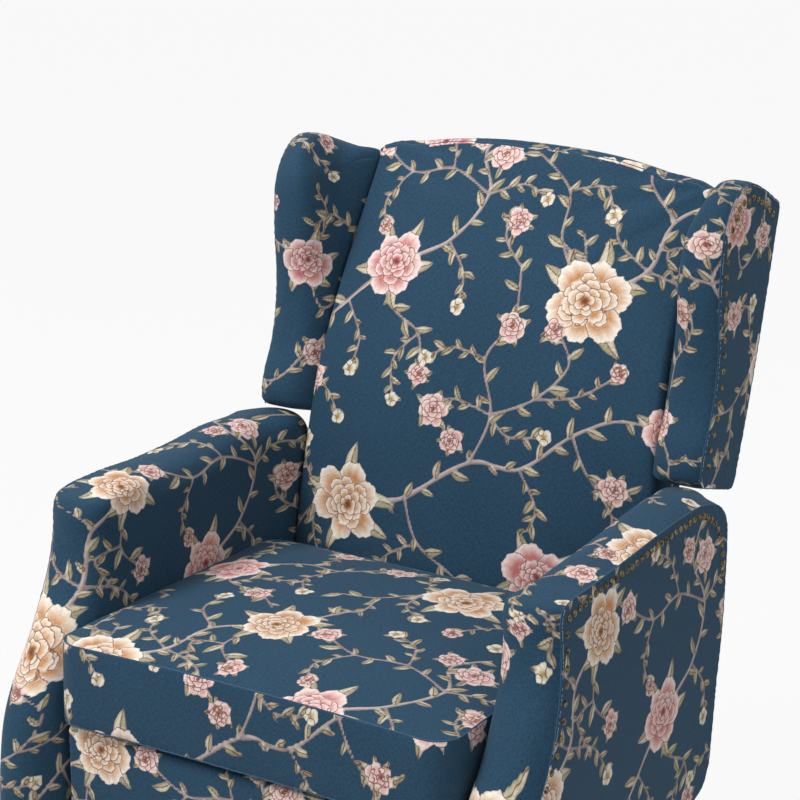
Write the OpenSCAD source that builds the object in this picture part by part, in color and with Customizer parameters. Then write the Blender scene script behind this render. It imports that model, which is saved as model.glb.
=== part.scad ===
/* [Arms] */
// Width across the two arms at their tops
arm_span = 740; // [710:5:800]
// Clear width of the bay between the arms
seat_bay = 584; // [570:2:590]
// How far each outer side spreads below the arm top
arm_flare = 13; // [4:1:18]
// Height of the arm tops at the front
arm_front_z = 646; // [636:2:680]
// Rise of the arm top from its front to its highest point
arm_rise = 16; // [6:1:24]
// Front seam of the arm at its top, ahead of the swivel axis
arm_front = 240; // [232:1:250]
// Front seam of the arm at its foot, ahead of the swivel axis
arm_foot = 331; // [320:1:338]
// Rear edge of the arm, behind the swivel axis
arm_rear = 200; // [194:1:206]
// Height of the arm's bottom edge at the front
arm_bottom_z = 140; // [132:2:150]
// Slope of the arm's bottom edge towards the rear
arm_cut_angle = 22.5; // [20:0.5:24]
// How far the padded front of the arm swells at its top
front_swell_top = 16; // [8:1:22]
// How far the padded front of the arm swells at its foot
front_swell_foot = 50; // [36:1:54]
// Padding on either side of the wooden box inside the arm
arm_pad_t = 14; // [11:1:20]

/* [Seat] */
// Height of the seat cushion's top seam
seat_z = 493; // [486:1:506]
// Height of the cushion's boxing
boxing_h = 110; // [104:1:114]
// Front of the cushion, ahead of the swivel axis
seat_front = 349; // [340:1:356]
// Rear of the cushion, behind the swivel axis
seat_rear = 130; // [118:1:132]
// Gap between the cushion and each arm
seat_side_gap = 3; // [2:0.5:8]
// How far the seat slides forward as the back reclines
seat_travel = 45; // [30:1:50]
// Crown of the cushion above its top seam
seat_crown = 24; // [10:1:34]
// Radius of the cushion's corners in plan
seat_corner = 46; // [30:1:60]
// Height of the seat frame's bars
seat_bar_h = 26; // [18:1:26]
// Width of the seat frame's bars
seat_bar_w = 26; // [18:1:34]
// Wire radius of the zigzag seat springs
seat_wire_r = 2; // [1.5:0.25:3]
// Number of zigzag seat springs
seat_spring_count = 5; // [3:1:6]

/* [Back] */
// Lean of the back's rear face from upright
back_lean = 15.5; // [12:0.5:18]
// Height of the back's lower edge
back_low_z = 412; // [410:1:418]
// Rear face of the back at its lower edge, behind the swivel axis
back_rear = 218; // [214:1:226]
// Gap between the back and each arm
back_gap = 30; // [28:1:40]
// Length of the back's rear face at its sides
back_len = 613; // [590:1:640]
// Rise of the arched top in the middle
back_arch = 38; // [10:1:50]
// Depth of the back pad at its thickest, at the crease
back_deep = 100; // [92:1:106]
// Depth of the back at its top, at the crease
back_top_deep = 36; // [33:1:44]
// Depth of the back at its lower edge, at the crease
back_low_deep = 68; // [58:1:74]
// Crown of the back pad across its width
back_crown = 20; // [6:1:24]
// Thickness of the board that closes the back from behind
back_board_t = 6; // [3:0.5:8]
// Thickness of the back's wooden frame
back_frame_t = 20; // [14:1:22]
// Width of the back frame's wooden bars
back_bar_w = 46; // [30:1:60]

/* [Wings] */
// Half width across the wings' outer panels
wing_out = 340; // [332:1:350]
// Lower edge of the wing, measured up the back
wing_low = 236; // [232:1:246]
// Depth of the wing at its fullest, near the top
wing_deep = 163; // [150:1:172]
// Depth of the wing at its waist
wing_waist = 110; // [108:1:122]
// Depth of the wing at its lower edge
wing_low_deep = 115; // [108:1:122]
// Thickness of the wing's outer board
wing_board_t = 10; // [6:1:14]
// How far the wing's padded front swells
wing_swell = 8; // [2:1:14]

/* [Nailheads] */
// Diameter of a nailhead
nail_d = 9; // [6:0.5:11]
// Height of a nailhead
nail_h = 2.4; // [1.5:0.1:4]
// Length of a nail's shank below its head
nail_shank = 7; // [4:0.5:9]
// Spacing of the nailheads on the arm tops and wing tops
nail_pitch_top = 13; // [12:0.5:24]
// Spacing of the nailheads down the front seams
nail_pitch_front = 20; // [14:0.5:30]
// Distance of the nailheads from the seam
nail_inset = 14; // [10:0.5:20]

/* [Footrest] */
// Half width of the footrest
rest_half = 282; // [270:1:284]
// Lower edge of the closed footrest
rest_low_z = 152; // [148:1:168]
// Gap between the closed footrest and the seat cushion
rest_gap = 4; // [3:0.5:8]
// Front face of the closed footrest, ahead of the swivel axis
rest_front = 337; // [330:1:342]
// Thickness of the footrest board
rest_board_t = 12; // [8:1:14]
// Thickness of the footrest pad at its edge
rest_edge = 9; // [6:1:10]
// Thickness of the steel links
link_t = 4; // [3:0.5:5]
// Half width of the steel links
link_r = 12; // [9:0.5:14]
// Radius of the pivot pins
pivot_r = 4; // [3:0.25:5]
// Radius of the tube that joins the two drive links
torque_r = 10; // [7:0.5:10]

/* [Mechanism] */
// Thickness of the steel side plates
plate_t = 3; // [2:0.5:4]
// Radius of the recline hinge pins
hinge_r = 6; // [4:0.5:7]
// Side of the square cross tubes
tube_w = 25; // [18:1:28]
// Wall of the square cross tubes
tube_wall = 2; // [1.5:0.25:4]
// Thickness of the seat tracks
track_t = 5; // [3:0.5:6]
// Length of the release lever
lever_len = 150; // [120:5:180]
// Radius of the release lever's shaft
shaft_r = 7; // [5:0.5:9]

/* [Swivel base] */
// Outer radius of the floor ring
ring_r = 300; // [280:5:320]
// Width of the floor ring
ring_w = 40; // [30:1:50]
// Height of the floor ring
ring_h = 20; // [16:1:22]
// Thickness of the pad under the floor ring
pad_t = 3; // [2:0.5:4]
// Width of the crossed bars
cross_w = 50; // [40:1:60]
// Thickness of the crossed bars
cross_t = 6; // [4:0.5:7]
// Radius of the two swivel plates
swivel_r = 110; // [105:1:125]
// Thickness of the two swivel plates
swivel_t = 4; // [3:0.5:5]
// Radius of a bearing ball
ball_r = 5; // [4:0.25:6]
// Number of bearing balls
ball_count = 12; // [8:1:16]
// Radius of the circle of balls
race_r = 85; // [75:1:95]
// Radius of the king pin
king_r = 8; // [6:0.5:10]

/* [Rocker] */
// Height of the axis that the chair rocks about
rock_z = 350; // [330:5:380]
// Height of the rocker rails
rail_h = 50; // [40:1:56]
// Width of the rocker rails
rail_w = 30; // [24:1:36]
// Length of the rocker rails
rail_len = 400; // [360:5:440]
// Half distance between the rocker rails
rail_x = 135; // [128:1:150]
// Thickness of the rocker cams
cam_t = 24; // [18:1:28]
// Half length of the rocker cams at their lower edge
cam_half = 150; // [135:1:165]
// Wire radius of the rocker springs
coil_wire_r = 2.5; // [2:0.25:3]
// Radius of the rocker springs
coil_r = 16; // [13:0.5:20]
// Turns of each rocker spring
coil_turns = 5; // [4:1:6]

/* [Clearances] */
// Gap between soft pieces that move past each other
soft_gap = 0.3; // [0.3:0.05:0.6]
// Radial clearance of a pin in its bore
run_gap = 0.08; // [0.05:0.01:0.1]
// Gap between steel pieces that turn beside each other
side_gap = 0.5; // [0.4:0.1:0.8]
// Clearance of the lever's shaft in the arm
shaft_gap = 1; // [0.5:0.1:1.5]

/* [Hidden] */

navy = "#2b4a62";
wood = "#c39a6b";
steel = "#3a3d40";
zinc = "#a9adb0";
bronze = "#5a4a36";
rubber = "#1d1d1f";

// heights of the swivel stack, from the floor up
ring_z = pad_t;
cross_z = ring_z + ring_h;
lower_z = cross_z + cross_t;
race_z = lower_z + swivel_t;
groove = 0.6;
ball_z = race_z + ball_r - groove + run_gap;
upper_z = ball_z + ball_r - groove + run_gap;
rail_z = upper_z + swivel_t;
rail_top = rail_z + rail_h;
cam_r = rock_z - rail_top - soft_gap;

// seat heights and widths
arm_in = seat_bay / 2;
arm_out = arm_span / 2;
arm_frame_x = arm_in + arm_pad_t;
arm_frame_t = arm_out - arm_in - 2 * arm_pad_t;
back_half = arm_in - back_gap;
seat_low_z = seat_z - boxing_h;
seat_half = arm_in - seat_side_gap;
bar_z = seat_low_z - seat_bar_h;
track_z = bar_z - soft_gap - track_t;

// places of the pivots in the side view, as depth and height
p1 = [-280, 340];
p2 = [-87, 257];
p3 = [-295, 230];
hinge = [150, 400];
lever = [-150, 315];

// the seat frame stays behind the closed footrest while the seat slides forward
rest_board_y = -rest_front + rest_edge + 6;
seat_frame_front = -(rest_board_y + rest_board_t) - seat_travel - 3;

// side layers of the linkage, measured out from the centre line
plate_x = arm_in - plate_t;
link1_x = plate_x - link_t - 8;
link2_x = link1_x - link_t - side_gap;
bracket_x = link2_x - link_t - side_gap;

// cross tubes and what stands on them
tube_z = 268;
front_tube_y = -55;
rear_tube_y = 90;

function mix(a, b, t) = a + (b - a) * t;
function ease(t) = let (c = min(max(t, 0), 1)) c * c * (3 - 2 * c);
function mean(list) = [for (k = [0:len(list[0]) - 1]) [for (p = list) p[k]] * [for (p = list) 1] / len(list)];
function span(a, b) = norm(b - a);
function lengths(path) = [for (i = 0, s = 0; i < len(path); i = i + 1, s = s + (i < len(path) ? span(path[i - 1], path[i]) : 0)) s];
function at_length(path, sums, s) =
    let (k = max([for (i = [0:len(path) - 2]) sums[i] <= s ? i : 0]))
    mix(path[k], path[k + 1], (s - sums[k]) / (sums[k + 1] - sums[k]));
function stations(path, pitch) =
    let (sums = lengths(path), whole = sums[len(path) - 1], n = floor(whole / pitch))
    [for (i = [0:n]) at_length(path, sums, min(i * whole / n, whole - 0.001))];
function bend(a, b, c, d, t) =
    0.5 * ((2 * b) + (c - a) * t + (2 * a - 5 * b + 4 * c - d) * t * t + (3 * b - a - 3 * c + d) * t * t * t);
function curve(points, steps) =
    let (n = len(points))
    concat([for (i = [0:n - 2]) for (k = [0:steps - 1])
        bend(points[max(i - 1, 0)], points[i], points[i + 1], points[min(i + 2, n - 1)], k / steps)],
        [points[n - 1]]);

// closed solid through rings of equally many points, each ring turning anticlockwise about the way on
module loft(rings) {
    n = len(rings[0]);
    m = len(rings);
    sides = [for (i = [0:m - 2]) for (j = [0:n - 1])
        let (a = i * n + j, b = i * n + (j + 1) % n, c = b + n, d = a + n) each [[a, d, c], [a, c, b]]];
    first = [for (j = [0:n - 1]) [m * n, j, (j + 1) % n]];
    last = [for (j = [0:n - 1]) [m * n + 1, (m - 1) * n + (j + 1) % n, (m - 1) * n + j]];
    polyhedron(concat([for (r = rings) each r], [mean(rings[0]), mean(rings[m - 1])]),
        concat(sides, first, last), convexity = 6);
}

module both() {
    children();
    mirror([1, 0, 0]) children();
}

// flat plate across X, drawn in depth and height
module side_slab(x, t) {
    translate([x, 0, 0]) rotate([90, 0, 90]) linear_extrude(t) children();
}

module across(x, p, r, len) {
    translate([x, p[0], p[1]]) rotate([0, 90, 0]) cylinder(r = r, h = len, $fn = 32);
}

// bar with two round ends, a little narrower between them
module bar_shape(a, b, r) {
    waist = 0.97;
    d = b - a;
    translate(a) circle(r, $fn = 32);
    translate(b) circle(r, $fn = 32);
    translate(a) rotate(atan2(d[1], d[0])) translate([0, -r * waist]) square([norm(d), 2 * r * waist]);
}

// swivel base

module floor_pad() {
    color(rubber) rotate_extrude($fn = 96) translate([ring_r - ring_w + 2, 0]) square([ring_w - 4, pad_t]);
}

module base_ring() {
    edge = 5;
    color(steel) difference() {
        translate([0, 0, ring_z]) rotate_extrude($fn = 96) translate([ring_r - ring_w, 0])
            polygon([[0, 0], [ring_w, 0], [ring_w, ring_h - edge], [ring_w - edge, ring_h], [edge, ring_h],
                [0, ring_h - edge]]);
        ring_bolt_places() translate([0, 0, cross_z - bolt_depth - 1])
            cylinder(r = bolt_r + run_gap, h = bolt_depth + 2, $fn = 24);
    }
}

module base_cross() {
    reach = ring_r - ring_w / 4;
    color(steel) translate([0, 0, cross_z]) difference() {
        for (turn = [0, 90]) rotate(turn) translate([-reach, -cross_w / 2, 0]) cube([2 * reach, cross_w, cross_t]);
        translate([0, 0, -1]) cylinder(r = king_r + run_gap, h = cross_t + 2, $fn = 48);
        ring_bolt_places() translate([0, 0, -1]) cylinder(r = bolt_r + run_gap, h = cross_t + 2, $fn = 24);
        plate_bolt_places() translate([0, 0, -1]) cylinder(r = bolt_r + run_gap, h = cross_t + 2, $fn = 24);
    }
}

bolt_r = 4;
bolt_depth = 12;
bolt_head_h = 4;
module ring_bolt_places() {
    for (turn = [0:90:270]) rotate(turn) translate([ring_r - ring_w / 2, 0, 0]) children();
}

module plate_bolt_places() {
    for (turn = [0:90:270]) rotate(turn) translate([race_r - ball_r - 22, 0, 0]) children();
}

module base_bolts() {
    color(zinc) ring_bolt_places() {
        translate([0, 0, cross_z - bolt_depth]) cylinder(r = bolt_r, h = bolt_depth + cross_t, $fn = 24);
        translate([0, 0, cross_z + cross_t]) cylinder(r = bolt_r * 1.8, h = bolt_head_h, $fn = 6);
    }
    color(zinc) plate_bolt_places() {
        translate([0, 0, cross_z]) cylinder(r = bolt_r, h = cross_t + swivel_t, $fn = 24);
        translate([0, 0, cross_z - bolt_head_h]) cylinder(r = bolt_r * 1.8, h = bolt_head_h, $fn = 6);
    }
}

module swivel_lower_plate() {
    color(steel) difference() {
        translate([0, 0, lower_z]) cylinder(r = swivel_r, h = swivel_t, $fn = 96);
        translate([0, 0, lower_z - 1]) cylinder(r = king_r + run_gap, h = swivel_t + 2, $fn = 48);
        plate_bolt_places() translate([0, 0, lower_z - 1]) cylinder(r = bolt_r + run_gap, h = swivel_t + 2, $fn = 24);
        ball_groove();
    }
}

module ball_groove() {
    rotate_extrude($fn = 96) translate([race_r, ball_z]) circle(ball_r + 2.5 * run_gap, $fn = 32);
}

module ball_places() {
    for (i = [0:ball_count - 1]) rotate(i * 360 / ball_count) translate([race_r, 0, ball_z]) children();
}

module bearing_balls() {
    color(zinc) ball_places() sphere(ball_r, $fn = 10);
}

module bearing_cage() {
    cage_t = 3;
    rim = 4;
    color(bronze) translate([0, 0, ball_z - cage_t / 2]) difference() {
        cylinder(r = race_r + ball_r + rim, h = cage_t, $fn = 96);
        translate([0, 0, -1]) cylinder(r = race_r - ball_r - rim, h = cage_t + 2, $fn = 96);
        for (i = [0:ball_count - 1]) rotate(i * 360 / ball_count) translate([race_r, 0, -1])
            cylinder(r = ball_r + run_gap, h = cage_t + 2, $fn = 32);
    }
}

module kingpin() {
    head_h = 5;
    color(zinc) {
        translate([0, 0, cross_z]) cylinder(r = king_r, h = rail_z + soft_gap - cross_z, $fn = 48);
        translate([0, 0, rail_z + soft_gap]) cylinder(r = king_r * 1.8, h = head_h, $fn = 48);
    }
}

// turning frame on the swivel

module swivel_upper_plate() {
    color(steel) difference() {
        translate([0, 0, upper_z]) cylinder(r = swivel_r, h = swivel_t, $fn = 96);
        translate([0, 0, upper_z - 1]) cylinder(r = king_r + run_gap, h = swivel_t + 2, $fn = 48);
        ball_groove();
    }
}

crossbar_w = 30;
crossbar_h = 12;
spring_y = 70;
spring_x = 78;

module rocker_rail() {
    translate([rail_x - rail_w / 2, -rail_len / 2, rail_z]) cube([rail_w, rail_len, rail_h]);
}

module rocker_crossbars() {
    reach = rail_x - rail_w / 2;
    color(steel) for (y = [-spring_y, spring_y])
        translate([-reach, y - crossbar_w / 2, rail_z]) cube([2 * reach, crossbar_w, crossbar_h]);
}

// coil spring as one unbroken tube, straight for one wire diameter at each end
spring_low = rail_z + crossbar_h;
spring_high = tube_z - 100;
coil_rings = 8;

function coil_stations() =
    let (lead = 2 * coil_wire_r, rise = spring_high - spring_low - 2 * lead, n = coil_turns * coil_rings)
    concat([[0, spring_low, 0], [0, spring_low + lead / 2, 0]],
        [for (i = [0:n]) [i * 360 / coil_rings, spring_low + lead + rise * i / n, 90]],
        [[0, spring_high - lead / 2, 0], [0, spring_high, 0]]);
function coil_centre(s) = [coil_r * cos(s[0]), coil_r * sin(s[0]), s[1]];
function coil_section(s) = [for (k = [0:5]) let (a = k * 60, out = [cos(s[0]), sin(s[0]), 0],
    side = [-sin(s[0]), cos(s[0]), 0] * cos(s[2]) + [0, 0, -1] * sin(s[2]))
    coil_centre(s) + coil_wire_r * (cos(a) * out + sin(a) * side)];

module coil_spring() {
    loft([for (s = coil_stations()) coil_section(s)]);
}

module rocker_springs() {
    pitch = (spring_high - spring_low - 4 * coil_wire_r) / coil_turns;
    echo(least_spring_gap = pitch - 2 * coil_wire_r);
    color(zinc) both() for (y = [-spring_y, spring_y]) translate([spring_x, y, 0]) coil_spring();
}

// rocking chassis

module rocker_cam() {
    toe_h = 75;
    side_slab(rail_x - cam_t / 2, cam_t) intersection() {
        translate([0, rock_z]) circle(cam_r, $fn = 180);
        polygon([[-cam_half, rail_top], [cam_half, rail_top], [cam_half, rail_top + toe_h],
            [rear_tube_y + tube_w / 2, tube_z], [front_tube_y - tube_w / 2, tube_z],
            [-cam_half, rail_top + toe_h]]);
    }
}

module spring_bars() {
    reach = rail_x - cam_t / 2;
    bar_t = 6;
    color(steel) for (y = [-spring_y, spring_y])
        translate([-reach, y - crossbar_w / 2, spring_high]) cube([2 * reach, crossbar_w, bar_t]);
}

module cross_tube(y) {
    color(steel) translate([-plate_x, y - tube_w / 2, tube_z]) difference() {
        cube([2 * plate_x, tube_w, tube_w]);
        translate([-1, tube_wall, tube_wall]) cube([2 * plate_x + 2, tube_w - 2 * tube_wall, tube_w - 2 * tube_wall]);
    }
}

function cut_z(y) = arm_bottom_z + (y + 200) * tan(arm_cut_angle);

module side_plate() {
    side_slab(plate_x, plate_t) difference() {
        polygon([[p1[0] - 18, p1[1] - 18], [front_tube_y - 40, tube_z - 4], [rear_tube_y + 14, tube_z - 4],
            [hinge[0] + 14, hinge[1] - 90], [hinge[0] + 14, hinge[1] + 16], [hinge[0] - 18, hinge[1] + 16],
            [hinge[0] - 60, bar_z - soft_gap], [p1[0] - 18, bar_z - soft_gap]]);
        translate(p1) circle(pivot_r + run_gap, $fn = 32);
        translate(lever) circle(shaft_r + run_gap, $fn = 48);
    }
}

module seat_track() {
    web = 22;
    low = p1[0] + link_r + 14;
    high = hinge[0] - 50;
    width = plate_x - seat_bar_inner - 4;
    translate([plate_x - width, low, track_z]) cube([width, high - low, track_t]);
    translate([plate_x - plate_t, low, track_z - web]) cube([plate_t, high - low, web]);
}

module back_hinge_pins() {
    inner = back_half - 5;
    color(zinc) both() {
        across(inner, hinge, hinge_r, plate_x - inner);
        across(inner - 3, hinge, hinge_r * 1.5, 3);
    }
}

module rear_stretcher() {
    t = 18;
    h = 44;
    color(wood) translate([-plate_x, stretch_y - t, stretch_z]) cube([2 * plate_x, t, h]);
}

stretch_y = 152;
stretch_z = 290;

module rear_panel() {
    t = 8;
    h = 52;
    edge = 3;
    color(navy) translate([-plate_x, stretch_y, stretch_z - 4]) rotate([90, 0, 90]) linear_extrude(2 * plate_x)
        polygon([[0, 0], [t - edge, 0], [t, edge], [t, h - edge], [t - edge, h], [0, h]]);
}

// height at a distance below the arm's front top
function below(drop) = arm_front_z - drop;

// arm in the side view: rear edge up, top forward, front down, bottom back
arm_heel = arm_rear - 62;
arm_outline = concat(
    curve([[arm_heel, cut_z(arm_heel)], [arm_heel + 19, cut_z(arm_heel) + 26],
        [arm_heel + 27, cut_z(arm_heel) + 66], [arm_rear - 26, below(216)], [arm_rear, below(56)]], 1),
    curve([[arm_rear - 3, arm_front_z - 20], [arm_rear - 20, arm_front_z + 1]], 2),
    [[arm_rear - 70, arm_front_z + arm_rise - 5], [arm_rear - 130, arm_front_z + arm_rise],
        [arm_rear - 250, arm_front_z + 0.55 * arm_rise], [-arm_front + 70, arm_front_z + 4],
        [-arm_front + 14, arm_front_z - 2]],
    [[-arm_front + 1, arm_front_z - 10], [-arm_front, arm_front_z - 50]],
    curve([[-arm_front - 7, below(103)], [-arm_front - 22, below(147)], [-arm_front - 43, below(192)],
        [-arm_foot + 25, below(234)], [-arm_foot + 12, below(274)], [-arm_foot + 3, below(330)]], 1),
    [[-arm_foot, below(406)], [-arm_foot, arm_bottom_z + 14], [-arm_foot + 14, arm_bottom_z], [-200, arm_bottom_z]]);

function arm_side_x(z) = arm_out + arm_flare * ease((arm_front_z + arm_rise - z) / 220);
function swell(t) = 1 - pow(abs(2 * t - 1), 2.4);
function front_swell(z) = mix(front_swell_top, front_swell_foot, ease((below(46) - z) / 170));
function arm_point(p, t, s) =
    let (mid = [-60, below(246)], q = mid + (p - mid) * s, forward = ease((-arm_front + 30 - q[0]) / 30))
    [mix(arm_in, arm_side_x(q[1]), t), q[0] - swell(t) * forward * front_swell(q[1]) * s,
        q[1] + swell(t) * 2 * ease((q[1] - arm_front_z + 30) / 30)];
function arm_ring(t, s) = [for (p = arm_outline) arm_point(p, t, s)];

module arm_form() {
    loft(concat([for (s = [0.3, 0.65, 0.9]) arm_ring(0, s)],
        [for (t = [0, 0.05, 0.16, 0.33, 0.5, 0.67, 0.84, 0.95, 1]) arm_ring(t, 1)],
        [for (s = [0.9, 0.65, 0.3]) arm_ring(1, s)]));
}

skin = 14;
module arm_frame_shape() {
    polygon([[-arm_foot + skin, arm_bottom_z + 1], [-200, arm_bottom_z + 1],
        [arm_heel - 18, cut_z(arm_heel - 18) + 1], [arm_heel + 8, cut_z(arm_heel) + 46],
        [arm_rear - 44, below(216)], [arm_rear - skin - 8, below(61)], [arm_rear - 36, arm_front_z - skin],
        [-arm_front + skin, arm_front_z - skin - 6], [-arm_front + skin, below(86)], [-arm_front - 20, below(171)],
        [-arm_foot + 36, below(236)], [-arm_foot + skin, below(326)]]);
}

module arm_frame() {
    side_slab(arm_frame_x, arm_frame_t) arm_frame_shape();
}

// the cover's pocket for the frame is open along the arm's bottom edge
module arm_cover() {
    drop = 60;
    difference() {
        arm_form();
        side_slab(arm_frame_x, arm_frame_t) union() {
            arm_frame_shape();
            polygon([[-arm_foot + skin, arm_bottom_z + 2], [-arm_foot + skin, arm_bottom_z - drop],
                [arm_heel - 18, arm_bottom_z - drop], [arm_heel - 18, cut_z(arm_heel - 18) + 2],
                [-200, arm_bottom_z + 2]]);
        }
    }
}

module shaft_hole() {
    past = arm_flare + 10;
    across(-arm_out - past, lever, shaft_r + shaft_gap, arm_out - arm_in + 2 * past);
}

module arm_frame_right() {
    difference() {
        mirror([1, 0, 0]) arm_frame();
        shaft_hole();
    }
}

module arm_cover_right() {
    difference() {
        mirror([1, 0, 0]) arm_cover();
        shaft_hole();
    }
}

// nails sit in rows on a path of depth and height points
module nail() {
    rotate([0, 90, 0]) {
        cylinder(r1 = nail_d / 2, r2 = nail_d / 4, h = nail_h, $fn = 6);
        translate([0, 0, -nail_shank]) cylinder(r = 1, h = nail_shank, $fn = 4);
    }
}

arm_top_row = curve([[arm_rear - nail_inset - 1, below(86)], [arm_rear - nail_inset - 4, arm_front_z - 40],
    [arm_rear - nail_inset - 24, arm_front_z - nail_inset - 2],
    [arm_rear - 130, arm_front_z + arm_rise - nail_inset], [arm_rear - 250, arm_front_z + 0.55 * arm_rise - nail_inset],
    [-arm_front + 70, arm_front_z + 4 - nail_inset], [-arm_front + nail_inset + 6, arm_front_z - nail_inset - 6]], 3);
arm_front_row = curve([[-arm_front + nail_inset + 1, below(nail_inset + 24)], [-arm_front + nail_inset, below(56)],
    [-arm_front - 7 + nail_inset, below(103)], [-arm_front - 22 + nail_inset, below(152)],
    [-arm_foot + 32 + nail_inset, below(214)], [-arm_foot + 14 + nail_inset, below(264)],
    [-arm_foot + 3 + nail_inset, below(326)], [-arm_foot + nail_inset, below(406)],
    [-arm_foot + nail_inset, arm_bottom_z + 22]], 3);

module arm_nails() {
    for (p = concat(stations(arm_top_row, nail_pitch_top), stations(arm_front_row, nail_pitch_front)))
        translate([arm_side_x(p[1]), p[0], p[1]]) nail();
}

// seat

seat_bar_inner = arm_in - 44 - seat_bar_w;
module seat_rail() {
    translate([seat_bar_inner, -seat_frame_front, bar_z])
        cube([seat_bar_w, seat_frame_front + seat_rear - 12, seat_bar_h]);
}

module seat_bar(y) {
    translate([-seat_bar_inner, y, bar_z]) cube([2 * seat_bar_inner, seat_bar_w, seat_bar_h]);
}

seat_back_bar_y = seat_rear - 12 - seat_bar_w;
module seat_springs() {
    zigs = 9;
    half = 26;
    low = -seat_frame_front + seat_bar_w;
    step = (seat_back_bar_y - low) / zigs;
    pitch = 2 * seat_bar_inner / seat_spring_count;
    z = seat_low_z - 8;
    color(zinc) for (i = [0:seat_spring_count - 1]) translate([-seat_bar_inner + (i + 0.5) * pitch, 0, 0])
        for (k = [0:zigs - 1]) let (side = k % 2 == 0 ? 1 : -1,
            a = [k == 0 ? 0 : -side * half, low + k * step, z], b = [k == zigs - 1 ? 0 : side * half, low + (k + 1) * step, z])
            wire(a, b, seat_wire_r);
}

module wire(a, b, r) {
    d = b - a;
    translate(a) rotate([0, 0, atan2(d[1], d[0])]) rotate([0, 90, 0]) cylinder(r = r, h = norm(d) + r * 0.4, $fn = 6);
}

// rounded plan of a cushion, drawn in between its corners
function plan(half, low, high, r, pull, z, s) =
    let (mid = (low + high) / 2, n = 5, m = 5,
        corner = function (cx, cy, a0) [for (k = [0:n - 1]) let (a = a0 + 90 * k / (n - 1)) [cx + r * cos(a), cy + r * sin(a)]],
        side = function (a, b) let (d = b - a, inward = [-d[1], d[0]] / norm(d))
            [for (k = [1:m]) let (t = k / (m + 1)) mix(a, b, t) + inward * pull * (1 - pow(2 * t - 1, 2))],
        c = [corner(half - r, low + r, -90), corner(half - r, high - r, 0), corner(-half + r, high - r, 90),
            corner(-half + r, low + r, 180)],
        ring = [for (k = [0:3]) each concat(c[k], side(c[k][n - 1], c[(k + 1) % 4][0]))])
    [for (p = ring) [p[0] * s, mid + (p[1] - mid) * s, z]];

module seat_cushion() {
    seam = 4;
    rows = [[seat_low_z, 0.97], [seat_low_z + 4, 0.995], [seat_low_z + 30, 1], [seat_z - 30, 1],
        [seat_z - 6, 0.998], [seat_z, 0.995], [seat_z + 0.42 * seat_crown, 0.96], [seat_z + 0.74 * seat_crown, 0.86],
        [seat_z + 0.93 * seat_crown, 0.62], [seat_z + seat_crown, 0.3]];
    color(navy) loft([for (r = rows) plan(seat_half, -seat_front, seat_rear, seat_corner, seam, r[0], r[1])]);
}

// back, drawn in its own leaning frame: depth forward from its rear face, height up that face

module lean() {
    translate([0, back_rear, back_low_z]) rotate([-back_lean, 0, 0]) children();
}

frame_front = back_board_t + back_frame_t;
thick_at = 290;
function crease_deep(u) = u > thick_at
    ? mix(back_deep, back_top_deep, pow((u - thick_at) / (back_len - thick_at), 1.7))
    : mix(back_deep, back_low_deep, pow((thick_at - u) / thick_at, 1.2));
function top_edge(x) = back_len + back_arch * (1 - pow(x / back_half, 2));

module back_board() {
    steps = 12;
    color(navy) lean() rotate([90, 0, 0]) linear_extrude(back_board_t)
        polygon(concat([[-back_half, 0], [back_half, 0]],
            [for (i = [0:steps]) let (x = mix(back_half, -back_half, i / steps)) [x, top_edge(x) - 8]]));
}

back_frame_top = back_len - 20;
module back_bars() {
    color(wood) lean() translate([0, -back_board_t, 0]) rotate([90, 0, 0]) linear_extrude(back_frame_t) children();
}

module back_uprights() {
    back_bars() for (x = [-back_half, back_half - back_bar_w]) translate([x, 0]) square([back_bar_w, back_frame_top]);
}

module back_rails() {
    inner = back_half - back_bar_w;
    back_bars() for (u = [0, wing_low - back_bar_w, back_frame_top - back_bar_w])
        translate([-inner, u]) square([2 * inner, back_bar_w]);
}

// the pad wraps over the frame's top and meets the board there
module back_pad() {
    cols = 12;
    wrap = back_frame_top / back_len + 0.008;
    front = frame_front;
    rear = back_board_t;
    rows = [[0, 0.55, front], [0.008, 0.9, front], [0.04, 1, front], [0.14, 1, front], [0.26, 1, front],
        [0.38, 1, front], [0.5, 1, front], [0.62, 1, front], [0.74, 1, front], [0.85, 1, front],
        [0.93, 0.98, front], [wrap, 0.86, front], [wrap + 0.001, 0.86, rear], [1, 0.45, rear]];
    color(navy) lean() loft([for (r = rows) concat(
        [for (i = [0:cols]) let (x = mix(-back_half, back_half, i / cols), u = r[0] * top_edge(x),
            v = crease_deep(min(u, back_len)) + back_crown * (1 - pow(abs(x / back_half), 2.6)))
            [x, -front - (v - front) * r[1], u]],
        [for (i = [0:4]) let (x = mix(back_half, -back_half, i / 4)) [x, -r[2], r[0] * top_edge(x)]])]);
}

module back_bracket() {
    t = 5;
    foot = [back_rear - 30, back_low_z + 20];
    side_slab(back_half, t) difference() {
        union() {
            bar_shape(hinge, foot, 15);
            translate([back_rear, back_low_z]) rotate(-back_lean) translate([-frame_front - 4, 4]) square([frame_front - 2, 90]);
        }
        translate(hinge) circle(hinge_r + run_gap, $fn = 48);
    }
}

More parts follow.
